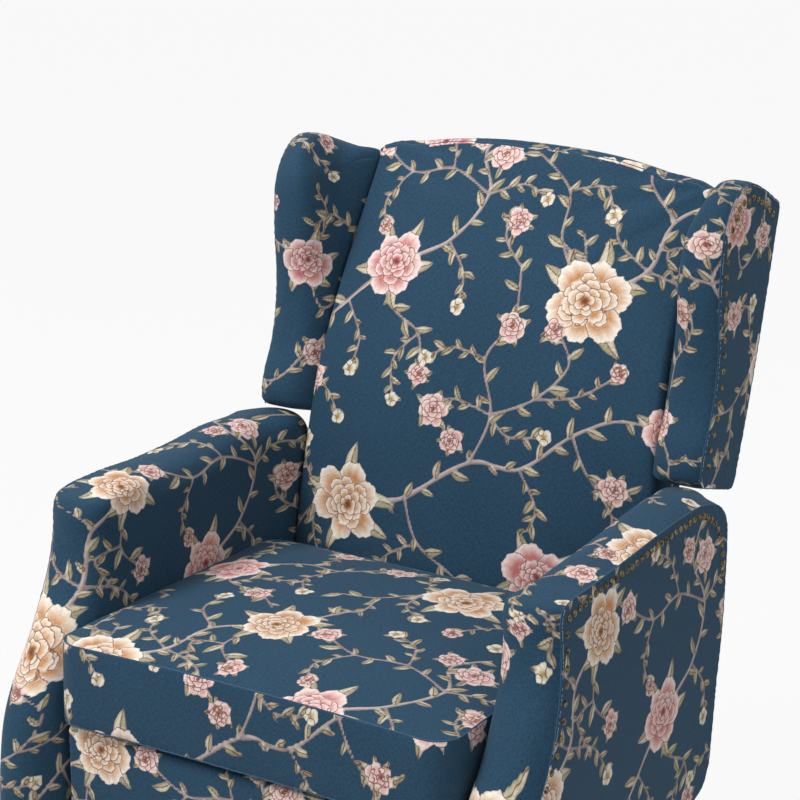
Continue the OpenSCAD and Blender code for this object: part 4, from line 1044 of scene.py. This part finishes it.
def backSides(half, low, shrink):
    xs = np.linspace(half, -half, 25)
    return [[(-half, low), (half, low)], [(half, low), (half, topEdge(half) - shrink - 0.006)],
        [(x, topEdge(x) - shrink - 0.006 * (abs(x) / half) ** 8) for x in xs],
        [(-half, topEdge(half) - shrink - 0.006), (-half, low)]]


def leaned(co):
    # depth and height in the back's own leaning plane
    a = math.radians(back["lean"])
    y, z = co[:, 1] - back["rear"], co[:, 2] - back["low"]
    return z * math.sin(a) - y * math.cos(a), z * math.cos(a) + y * math.sin(a)


def backTaper(u):
    # the pad is wider between the arms than between the wings
    return mixed(back["lowWide"], back["topWide"], ease((u - 0.10) / (back["length"] - 0.10)))


def backPadPlace(flat, level):
    x, u = flat[:, 0] * backTaper(flat[:, 1]), flat[:, 1]
    full = creaseDeep(u) + back["crown"] * (1 - np.abs(np.clip(x / back["half"], -1, 1)) ** 2.6)
    return leaning(x, mixed(back["frame"] - back["sunk"], full, level), u)


backProfile = [(0.0, 0.004), (0.05, 0.001), (0.15, 0), (0.3, 0), (0.45, 0), (0.6, 0), (0.75, 0.0005),
    (0.86, 0.002), (0.94, 0.0045), (1.0, 0.008)]


def backPadHeld(start):
    v, u = leaned(start)
    side = ease((np.abs(start[:, 0]) / backTaper(u) - back["half"] + 0.007) / 0.004)
    return np.maximum(ease((0.03 - v) / 0.01), side * 0.8)


cover, backSeams = boxedCover("backPad", backSides(back["half"], 0.004, 0), backProfile, backPadPlace,
    step=0.0055, laid=(0.29, 0.02), cuts=("near", "near", "own", "near"))
backLines = [seamLine(cover, backSeams, -2, (2,))]
plump(cover, backPadHeld, pressure=2.2, most=0.008)
finishCover(cover, "back", ["back_pad"], lines=backLines, sharp=0.35)
lipAlong("backTopLip", cover, backLines[0], lipSizes["cover"], "back")


# the back's rear cover is stretched over its board and the frame's sides
def backRearPlace(flat, level):
    return leaning(flat[:, 0], mixed(rearCover["inFrame"], rearCover["behind"], level), flat[:, 1])


rearProfile = [(0, 0), (0.3, 0), (0.6, 0), (0.85, 0.0003), (0.96, 0.001), (1, 0.0025)]
cover, rearSeams = boxedCover("backRear", backSides(back["half"] + rearCover["over"], -0.002, 0.004),
    rearProfile, backRearPlace, step=0.011, laid=(0.5, 0.4), cuts=("near",) * 4)
finishCover(cover, "back", ["back_board"], lines=[seamLine(cover, rearSeams, -1, (0, 1, 2, 3))])


# wings: padded over their fronts and inner sides, with a flat outer panel
wing = {"out": 0.340, "low": 0.236, "deep": 0.163, "waist": 0.110, "lowDeep": 0.115, "swell": 0.008,
    "splay": 0.014, "roll": 0.018, "dropAhead": 0.025, "fullBehind": 0.012, "top": back["length"] + 0.004}


def wingSides(lift):
    low, deep, waist, lowDeep = (wing[k] for k in ("low", "deep", "waist", "lowDeep"))
    top = wing["top"] + lift
    under = curveThrough([(lowDeep - 0.018, low), (lowDeep - 0.040, low), (0.030, low),
        (0.012, low + 0.0005), (0.006, low + 0.002)])
    rear = curveThrough([(0.006, low + 0.002), (0.0015, low + 0.009), (0, low + 0.030), (0, top - 0.040),
        (0.0015, top - 0.012), (0.006, top - 0.005)])
    over = curveThrough([(0.006, top - 0.005), (deep * 0.36, top + 0.006), (deep - 0.066, top + 0.009),
        (deep - 0.044, top + 0.005)])
    front = curveThrough([(deep - 0.044, top + 0.005), (deep - 0.027, top - 0.007),
        (deep - 0.013, top - 0.026), (deep - 0.005, top - 0.050), (deep - 0.004, top - 0.075),
        (deep - 0.010, low + 0.275), (deep - 0.020, low + 0.240), (waist + 0.014, low + 0.190),
        (waist + 0.002, low + 0.140), (mixed(lowDeep, waist, 0.7) - 0.003, low + 0.090),
        (lowDeep, low + 0.040), (lowDeep - 0.002, low + 0.018), (lowDeep - 0.007, low + 0.006),
        (lowDeep - 0.018, low)])
    # anticlockwise with depth to the left: turned so that height runs up
    flip = np.array([-1, 1])
    return [line * flip for line in (under, rear, over, front)]


def wingPlace(flat, level):
    v, u = -flat[:, 0], flat[:, 1]
    inner, out = back["half"] * np.minimum(backTaper(u), 1) + 0.001, wing["out"]
    crease = creaseDeep(u)
    # the inner side leans away from the back; its top rolls over wide in front and stays full behind
    lean = wing["splay"] * ease((v - crease + 0.02) / 0.07) * (1 - level)
    ahead = ease((v - 0.02) / 0.09) * (1 - ease(level / 0.65))
    behind = (1 - ease((v - 0.02) / 0.09)) * (1 - ease(level / 0.30))
    x = mixed(inner, out, level) + lean + wing["roll"] * ahead * ease((u - wing["top"] + 0.160) / 0.160)
    forward = ease((v - 0.05) / 0.05)
    drop = wing["dropAhead"] * ahead - wing["fullBehind"] * behind
    drop = drop * ease((u - wing["top"] + 0.070) / 0.070)
    return leaning(x, v + wing["swell"] * swell(level) * forward, u - drop)


wingProfile = [(0.0, 0.022), (0.02, 0.0145), (0.06, 0.0088), (0.12, 0.0046), (0.2, 0.0016), (0.3, 0.0003),
    (0.42, 0), (0.54, 0), (0.66, 0), (0.78, 0), (0.88, 0.0002), (0.95, 0.0009), (1.0, 0.0022)]


def wingHeld(start):
    outer = ease((np.abs(start[:, 0]) - wing["out"] + 0.010) / 0.008)
    return np.maximum(outer, ease((0.03 - leaned(start)[0]) / 0.01))


for side, laid in (("left", (0.07, 0.44)), ("right", (0.33, 0.21))):
    cover, seams = boxedCover("wing" + side.title(), wingSides(lifts["wing"][side]), wingProfile, wingPlace,
        step=0.0050, laid=laid, cuts=("own", "far", "far", "far"), softness=(0.3, 0.1, 1, 1))
    outerSeam = seamLine(cover, seams, -1, (0, 1, 2, 3))
    frontSeam = seamLine(cover, seams, -1, (2, 3))
    plump(cover, wingHeld, pressure=2.5, most=0.007, frames=12)
    if side == "right":
        mirrorPiece(cover, "wingRight")
    finishCover(cover, "back", ["wing_pad_" + side, "wing_board_" + side], lines=[outerSeam])
    stitchAlong("wingStitches" + side.title(), cover, frontSeam, (0, 1, -1), "back")
    lipAlong("wingLip" + side.title(), cover, outerSeam, lipSizes["cover"], "back", closed=True)


# footrest: a thin pad on its board
rest = {"half": 0.282, "low": 0.152, "high": 0.379, "face": 0.337, "board": 0.322, "corner": 0.012,
    "pull": 0.002,
    "sunk": 0.004, "crown": 0.006}


def restPlace(flat, level):
    x, z = flat[:, 0], flat[:, 1]
    mid = (rest["low"] + rest["high"]) / 2
    away = np.abs(x / rest["half"]) ** 4
    deep = np.abs((z - mid) / (rest["high"] - mid)) ** 3
    crown = np.clip(1 - away, 0, 1) ** 0.6 * np.clip(1 - deep, 0, 1) ** 0.6
    y = mixed(-rest["board"] + rest["sunk"], -rest["face"] + rest["crown"],
        level) - (level > 0.999) * crown * rest["crown"]
    return np.stack([x, y, z], -1)


restSides = roundedSides(rest["half"], rest["low"], rest["high"], rest["corner"], rest["pull"])
restProfile = [(0, 0.003), (0.15, 0.001), (0.4, 0), (0.7, 0.0005), (0.9, 0.002), (1, 0.004)]
cover, restSeams = boxedCover("footrestPad", restSides, restProfile, restPlace, step=0.0060,
    laid=(0.19, 0.28), cuts=("near",) * 4)
finishCover(cover, "footrest", ["footrest_pad"],
    lines=[seamLine(cover, restSeams, -1, (0, 1, 2, 3))], sharp=0.3)


# decorative nails: antiqued brass pressed into shallow domes
nailhead = {"across": 0.0098, "height": 0.0030, "topPitch": 0.013, "frontPitch": 0.020, "inset": 0.014,
    "wingInset": 0.020, "skirt": 0.0008, "pressed": 0.0004, "askew": 0.07, "seed": 3}


def makeAntiqueBrass():
    # brass plate browned in patches 4 mm across, with hammer marks of 1.4 mm: a dim, uneven shine
    material, tree, shader = newMaterial("antiquedBrass", Metallic=1.0, Roughness=0.42)
    where = addNode(tree, "ShaderNodeTexCoord").outputs["Object"]
    patina = addNode(tree, "ShaderNodeTexNoise", {"Vector": where}, Scale=260.0, Detail=4.0).outputs[0]
    tone = addNode(tree, "ShaderNodeValToRGB", {0: patina})
    tone.color_ramp.elements[0].position, tone.color_ramp.elements[0].color = 0.36, paint("#2e281e")
    tone.color_ramp.elements[1].position, tone.color_ramp.elements[1].color = 0.66, paint("#7d6d4c")
    tree.links.new(tone.outputs[0], shader.inputs["Base Color"])
    rough = addNode(tree, "ShaderNodeMapRange", {0: patina}, _1=0.3, _2=0.7, _3=0.6, _4=0.3).outputs[0]
    tree.links.new(rough, shader.inputs["Roughness"])
    dents = addNode(tree, "ShaderNodeTexNoise", {"Vector": where}, Scale=700.0, Detail=2.0).outputs[0]
    bump = addNode(tree, "ShaderNodeBump", {"Height": dents}, Strength=0.25, Distance=0.0003).outputs[0]
    tree.links.new(bump, shader.inputs["Normal"])
    return material


antiqueBrass = makeAntiqueBrass()
nailDraw = np.random.default_rng(nailhead["seed"])


def domedNail():
    # the cap of a sphere, flattened, with a short skirt pressed into the cloth
    bpy.ops.object.select_all(action="DESELECT")
    bpy.ops.mesh.primitive_uv_sphere_add(segments=10, ring_count=8, radius=nailhead["across"] / 2)
    head = bpy.context.object
    bpy.ops.object.mode_set(mode="EDIT")
    bpy.ops.mesh.select_all(action="SELECT")
    bpy.ops.mesh.bisect(plane_co=(0, 0, 0), plane_no=(0, 0, 1), clear_inner=True, use_fill=True)
    bpy.ops.object.mode_set(mode="OBJECT")
    co = places(head)
    rim = np.hypot(co[:, 0], co[:, 1]) / (nailhead["across"] / 2)
    co[:, 2] *= nailhead["height"] / (nailhead["across"] / 2)
    co[:, 2] -= nailhead["skirt"] * (rim > 0.97)
    setPlaces(head, co)
    return head


def driveNails(name, rows, outward, node, body):
    # a row gives each nail's place; heads sit a little askew, as hand-driven ones do
    mats = []
    for place in rows:
        tilt = Vector(outward) + Vector(nailDraw.normal(0, nailhead["askew"], 3))
        mats.append(Matrix.Translation(Vector(place)) @ tilt.to_track_quat("Z", "Y").to_matrix().to_4x4())
    nails = copiesOf(domedNail(), mats, name, body, antiqueBrass)
    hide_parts(node)


def stations(points, pitch):
    # places for nails along a line
    path = curveThrough(points)
    return resample(path, int(np.linalg.norm(np.diff(path, axis=0), axis=1).sum() / pitch))


def armNails(lift):
    inset, rear, front, foot = nailhead["inset"], arm["rear"], arm["front"], arm["foot"]
    rise = arm["rise"] + lift
    top = stations([(rear - inset - 0.003, below(0.086)), (rear - inset - 0.003, below(0.050)),
        (rear - inset - 0.016, below(inset + 0.008)), (rear - 0.066, below(inset - rise + 0.003)),
        (rear - 0.125, below(inset - rise)), (rear - 0.190, below(inset - rise * 0.72 - lift * 0.4)),
        (rear - 0.270, below(inset - rise * 0.40 - lift * 0.4)), (-front + 0.075, below(inset - 0.003)),
        (-front + inset + 0.006, below(inset + 0.006))], nailhead["topPitch"])
    down = stations([(-front + inset + 0.001, below(inset + 0.024)), (-front + inset, below(0.056)),
        (-front - 0.007 + inset, below(0.103)), (-front - 0.022 + inset, below(0.152)),
        (-foot + 0.030 + inset, below(0.214)), (-foot + 0.010 + inset, below(0.264)),
        (-foot - 0.002 + inset, below(0.326)), (-foot - 0.005 + inset, below(0.406)),
        (-foot - 0.005 + inset, arm["bottomZ"] + 0.022)], nailhead["frontPitch"])
    both = np.concatenate([top, down])
    return np.stack([armSideX(both[:, 1]) - nailhead["pressed"], both[:, 0], both[:, 1]], -1)


def wingNails(lift):
    low, deep, waist, lowDeep = (wing[k] for k in ("low", "deep", "waist", "lowDeep"))
    top = wing["top"] + lift
    inset = nailhead["wingInset"]
    up = stations([(lowDeep - inset - 0.004, low + inset + 0.010), (lowDeep - inset - 0.001, low + 0.050),
        (mixed(lowDeep, waist, 0.7) - 0.003 - inset, low + 0.090), (waist + 0.002 - inset, low + 0.140),
        (waist + 0.014 - inset, low + 0.190), (deep - 0.020 - inset, low + 0.240),
        (deep - 0.010 - inset, low + 0.275), (deep - 0.005 - inset, top - 0.078),
        (deep - 0.007 - inset, top - 0.056)], nailhead["frontPitch"])
    over = stations([(deep - inset - 0.012, top - 0.041), (deep - inset - 0.023, top - 0.022),
        (deep - inset - 0.042, top - inset + 0.004), (deep - 0.070, top - inset + 0.009),
        (deep * 0.36, top - inset + 0.006), (inset, top - inset - 0.004)], nailhead["topPitch"])
    both = np.concatenate([up, over])
    return leaning(np.full(len(both), wing["out"] - nailhead["pressed"]), both[:, 0], both[:, 1])


for side, sign in (("left", 1), ("right", -1)):
    turned = np.array([sign, 1, 1])
    driveNails("armNails" + side.title(), armNails(lifts["arm"][side]) * turned, (sign, 0, 0),
        "arm_nails_" + side, "chassis")
    driveNails("wingNails" + side.title(), wingNails(lifts["wing"][side]) * turned, (sign, 0, 0),
        "wing_nails_" + side, "back")


# the strip of the same cloth that closes the body behind, under the back
stretcher = {"half": 0.289, "y": 0.152, "low": 0.286, "high": 0.338, "thick": 0.008}


def stripPlace(flat, level):
    return np.stack([flat[:, 0], mixed(stretcher["y"], stretcher["y"] + stretcher["thick"], level),
        flat[:, 1]], -1)


corners = [(-stretcher["half"], stretcher["low"]), (stretcher["half"], stretcher["low"]),
    (stretcher["half"], stretcher["high"]), (-stretcher["half"], stretcher["high"])]
stripProfile = [(0, 0.0005), (0.4, 0), (0.75, 0.0006), (1, 0.0028)]
cover = boxedCover("rearStrip", [[corners[k], corners[(k + 1) % 4]] for k in range(4)], stripProfile,
    stripPlace, step=0.008, laid=(0.05, 0.1), cuts=("near",) * 4)[0]
finishCover(cover, "chassis", ["rear_panel"])


# finishes of the mechanism and the frame, on the CAD's own shapes
def makePowderCoat():
    # black epoxy powder coat, baked on: an orange-peel texture of 1.6 mm and a low sheen
    material, tree, shader = newMaterial("blackPowderCoatedSteel", Roughness=0.46, Specular_IOR_Level=0.45)
    where = addNode(tree, "ShaderNodeTexCoord").outputs["Object"]
    peel = addNode(tree, "ShaderNodeTexNoise", {"Vector": where}, Scale=620.0, Detail=2.0).outputs[0]
    dust = addNode(tree, "ShaderNodeTexNoise", {"Vector": where}, Scale=14.0, Detail=5.0).outputs[0]
    tone = addNode(tree, "ShaderNodeMix", {0: dust}, data_type="RGBA", _6=paint("#191a1c"),
        _7=paint("#2c2d2f"))
    tree.links.new(tone.outputs[2], shader.inputs["Base Color"])
    rough = addNode(tree, "ShaderNodeMapRange", {0: dust}, _1=0.3, _2=0.7, _3=0.38, _4=0.56).outputs[0]
    tree.links.new(rough, shader.inputs["Roughness"])
    bump = addNode(tree, "ShaderNodeBump", {"Height": peel}, Strength=0.2, Distance=0.0002).outputs[0]
    tree.links.new(bump, shader.inputs["Normal"])
    return material


def makeZincPlate():
    # bright zinc plating over rolled steel: faint rolling lines of 1 mm and a cool, slightly mottled shine
    material, tree, shader = newMaterial("zincPlatedSteel", Metallic=1.0, Roughness=0.34)
    where = addNode(tree, "ShaderNodeTexCoord").outputs["Object"]
    rolled = addNode(tree, "ShaderNodeVectorMath", {0: where}, operation="MULTIPLY",
        _1=(60, 60, 900)).outputs[0]
    lines = addNode(tree, "ShaderNodeTexNoise", {"Vector": rolled}, Scale=1.0, Detail=3.0).outputs[0]
    bloom = addNode(tree, "ShaderNodeTexNoise", {"Vector": where}, Scale=35.0, Detail=4.0).outputs[0]
    tone = addNode(tree, "ShaderNodeMix", {0: bloom}, data_type="RGBA", _6=paint("#a4a8ab"),
        _7=paint("#cdcfcf"))
    tree.links.new(tone.outputs[2], shader.inputs["Base Color"])
    rough = addNode(tree, "ShaderNodeMapRange", {0: bloom}, _1=0.3, _2=0.7, _3=0.26, _4=0.44).outputs[0]
    tree.links.new(rough, shader.inputs["Roughness"])
    bump = addNode(tree, "ShaderNodeBump", {"Height": lines}, Strength=0.12, Distance=0.0001).outputs[0]
    tree.links.new(bump, shader.inputs["Normal"])
    return material


def makeBrass():
    # stamped brass with a thin brown oxide in patches of 11 mm: a warm, half-dulled shine
    material, tree, shader = newMaterial("stampedBrass", Metallic=1.0, Roughness=0.36)
    where = addNode(tree, "ShaderNodeTexCoord").outputs["Object"]
    oxide = addNode(tree, "ShaderNodeTexNoise", {"Vector": where}, Scale=90.0, Detail=4.0).outputs[0]
    tone = addNode(tree, "ShaderNodeMix", {0: oxide}, data_type="RGBA", _6=paint("#8a6a35"),
        _7=paint("#c4a05a"))
    tree.links.new(tone.outputs[2], shader.inputs["Base Color"])
    return material


def makeRubber():
    # moulded EPDM rubber: matt, with dust in its grain of 2.4 mm
    material, tree, shader = newMaterial("mouldedRubber", Roughness=0.82, Specular_IOR_Level=0.3)
    where = addNode(tree, "ShaderNodeTexCoord").outputs["Object"]
    grain = addNode(tree, "ShaderNodeTexNoise", {"Vector": where}, Scale=420.0, Detail=3.0).outputs[0]
    dust = addNode(tree, "ShaderNodeTexNoise", {"Vector": where}, Scale=22.0, Detail=4.0).outputs[0]
    tone = addNode(tree, "ShaderNodeMix", {0: dust}, data_type="RGBA", _6=paint("#131314"),
        _7=paint("#262627"))
    tree.links.new(tone.outputs[2], shader.inputs["Base Color"])
    bump = addNode(tree, "ShaderNodeBump", {"Height": grain}, Strength=0.3, Distance=0.0002).outputs[0]
    tree.links.new(bump, shader.inputs["Normal"])
    return material


def makeTimber(name, light, dark, rough, grainWay, varnish):
    # wood with growth rings cut lengthwise, so that its grain runs in long wavy lines along the board
    material, tree, shader = newMaterial(name, Roughness=rough, Coat_Weight=varnish, Coat_Roughness=0.2)
    where = addNode(tree, "ShaderNodeTexCoord").outputs["Object"]
    stretched = addNode(tree, "ShaderNodeVectorMath", {0: where}, operation="MULTIPLY",
        _1=grainWay).outputs[0]
    wander = addNode(tree, "ShaderNodeTexNoise", {"Vector": stretched}, Scale=1.0, Detail=3.0,
        Distortion=0.6).outputs[0]
    rings = addNode(tree, "ShaderNodeMath", {0: wander}, operation="MULTIPLY", _1=38.0).outputs[0]
    rings = addNode(tree, "ShaderNodeMath", {0: rings}, operation="SINE").outputs[0]
    pores = addNode(tree, "ShaderNodeTexNoise", {"Vector": stretched}, Scale=16.0, Detail=4.0).outputs[0]
    share = addNode(tree, "ShaderNodeMapRange", {0: rings}, _1=-1.0, _2=1.0, _3=0.15, _4=0.75).outputs[0]
    share = addNode(tree, "ShaderNodeMath", {0: share, 1: pores}, operation="MULTIPLY").outputs[0]
    tone = addNode(tree, "ShaderNodeMix", {0: share}, data_type="RGBA", _6=paint(light), _7=paint(dark))
    tree.links.new(tone.outputs[2], shader.inputs["Base Color"])
    bump = addNode(tree, "ShaderNodeBump", {"Height": pores}, Strength=0.2, Distance=0.0003).outputs[0]
    tree.links.new(bump, shader.inputs["Normal"])
    return material


powderCoat, zincPlate, brass, rubber = makePowderCoat(), makeZincPlate(), makeBrass(), makeRubber()
poplar = makeTimber("sawnPoplar", "#d3b587", "#a07a4c", 0.62, (9, 3, 16), 0.0)
beech = makeTimber("varnishedBeech", "#7d4f2c", "#4a2b17", 0.38, (22, 5, 24), 0.5)
finishes = (
    (powderCoat, "base_ring base_cross swivel_lower_plate swivel_upper_plate rocker_crossbars spring_bars "
        "front_cross_tube rear_cross_tube side_plate_left side_plate_right seat_track_left "
        "seat_track_right back_bracket_left back_bracket_right footrest_brackets"),
    (zincPlate, "kingpin bearing_balls base_bolts back_hinge_pins seat_springs drive_link_left "
        "drive_link_right torque_tube carry_link_left carry_link_right lever_shaft rocker_springs"),
    (brass, "bearing_cage"),
    (rubber, "floor_pad lever_bush"),
    (poplar, "rocker_rail_left rocker_rail_right rocker_cam_left rocker_cam_right arm_frame_left "
        "arm_frame_right rear_stretcher seat_rail_left seat_rail_right seat_front_bar seat_rear_bar "
        "back_uprights back_rails footrest_board"),
    (beech, "lever_handle"),
)
for finish, nodes in finishes:
    for node in nodes.split():
        dress(node, finish)
print("mechanism finished")


# floor, backdrop, light and camera
studio = {"paper": "#d2d2d2", "paperLift": 0.92, "fill": 0.38, "shown": 0.965, "floorSize": 24,
    "litPoint": (0, 0, 0.6)}
# place, size and power of each softbox
softboxes = {"softboxLeft": ((-1.5, -2.3, 3.7), 1.6, 126), "softboxRight": ((2.6, -1.6, 2.2), 1.6, 14),
    "softboxTop": ((0.2, 0.4, 3.4), 2.0, 12)}


def seenShare(tree):
    # 1 for what the camera sees, directly or in a gloss or through glass
    rays = addNode(tree, "ShaderNodeLightPath").outputs
    seen = addNode(tree, "ShaderNodeMath", {0: rays["Is Camera Ray"], 1: rays["Is Glossy Ray"]},
        operation="MAXIMUM")
    return addNode(tree, "ShaderNodeMath", {0: seen.outputs[0], 1: rays["Is Transmission Ray"]},
        operation="MAXIMUM").outputs[0]


def whiteGround():
    # seamless paper: lit and shadowed like paper, and lifted to white where it is looked at
    material, tree, shader = newMaterial("whiteStudioPaper", Roughness=0.9, Specular_IOR_Level=0.1)
    shader.inputs["Base Color"].default_value = paint(studio["paper"])
    share = addNode(tree, "ShaderNodeMath", {0: seenShare(tree)}, operation="MULTIPLY",
        _1=studio["paperLift"])
    glow = addNode(tree, "ShaderNodeEmission", Strength=1.0)
    glow.inputs["Color"].default_value = (1, 1, 1, 1)
    both = addNode(tree, "ShaderNodeMixShader", {0: share.outputs[0], 1: shader.outputs[0],
        2: glow.outputs[0]})
    tree.links.new(both.outputs[0], tree.nodes["Material Output"].inputs["Surface"])
    return material


bpy.ops.object.select_all(action="DESELECT")
bpy.ops.mesh.primitive_grid_add(x_subdivisions=8, y_subdivisions=8, size=studio["floorSize"],
    location=(0, 0, 0))
floor = bpy.context.object
floor.name = "studioFloor"
floor.data.materials.append(whiteGround())

world = bpy.data.worlds.new("studio")
bpy.context.scene.world = world
world.use_nodes = True
tree = world.node_tree
backing = tree.nodes["Background"]
backing.inputs["Color"].default_value = (1, 1, 1, 1)
backing.inputs["Strength"].default_value = studio["fill"]
shown = addNode(tree, "ShaderNodeBackground", Strength=studio["shown"])
shown.inputs["Color"].default_value = (1, 1, 1, 1)
either = addNode(tree, "ShaderNodeMixShader", {0: seenShare(tree), 1: backing.outputs[0],
    2: shown.outputs[0]})
tree.links.new(either.outputs[0], tree.nodes["World Output"].inputs["Surface"])


def softbox(name, place, size, power):
    light = bpy.data.objects.new(name, bpy.data.lights.new(name, "AREA"))
    bpy.context.scene.collection.objects.link(light)
    light.data.shape = "DISK"
    light.data.size = size
    light.data.energy = power
    light.location = place
    light.rotation_euler = (Vector(studio["litPoint"]) - Vector(place)).to_track_quat("-Z", "Y").to_euler()


for name, (place, size, power) in softboxes.items():
    softbox(name, place, size, power)

# the camera stands where the photograph's did, ahead and to the sitter's left
camera = {"eye": (1.6811, -2.6895, 1.6966), "aim": (-0.0334, 0.0544, 0.7532), "roll": 0.875, "lens": 117.04}
eye, aim = Vector(camera["eye"]), Vector(camera["aim"])
lens = bpy.data.cameras.new("camera")
lens.lens = camera["lens"]
lens.sensor_width = 36
lens.clip_end = 60
viewer = bpy.data.objects.new("camera", lens)
bpy.context.scene.collection.objects.link(viewer)
viewer.location = eye
facing = (aim - eye).to_track_quat("-Z", "Y").to_matrix() @ Matrix.Rotation(math.radians(camera["roll"]), 3,
    "Z")
viewer.rotation_euler = facing.to_euler()
bpy.context.scene.camera = viewer
bpy.context.scene.view_settings.view_transform = "Standard"

print("pieces done")
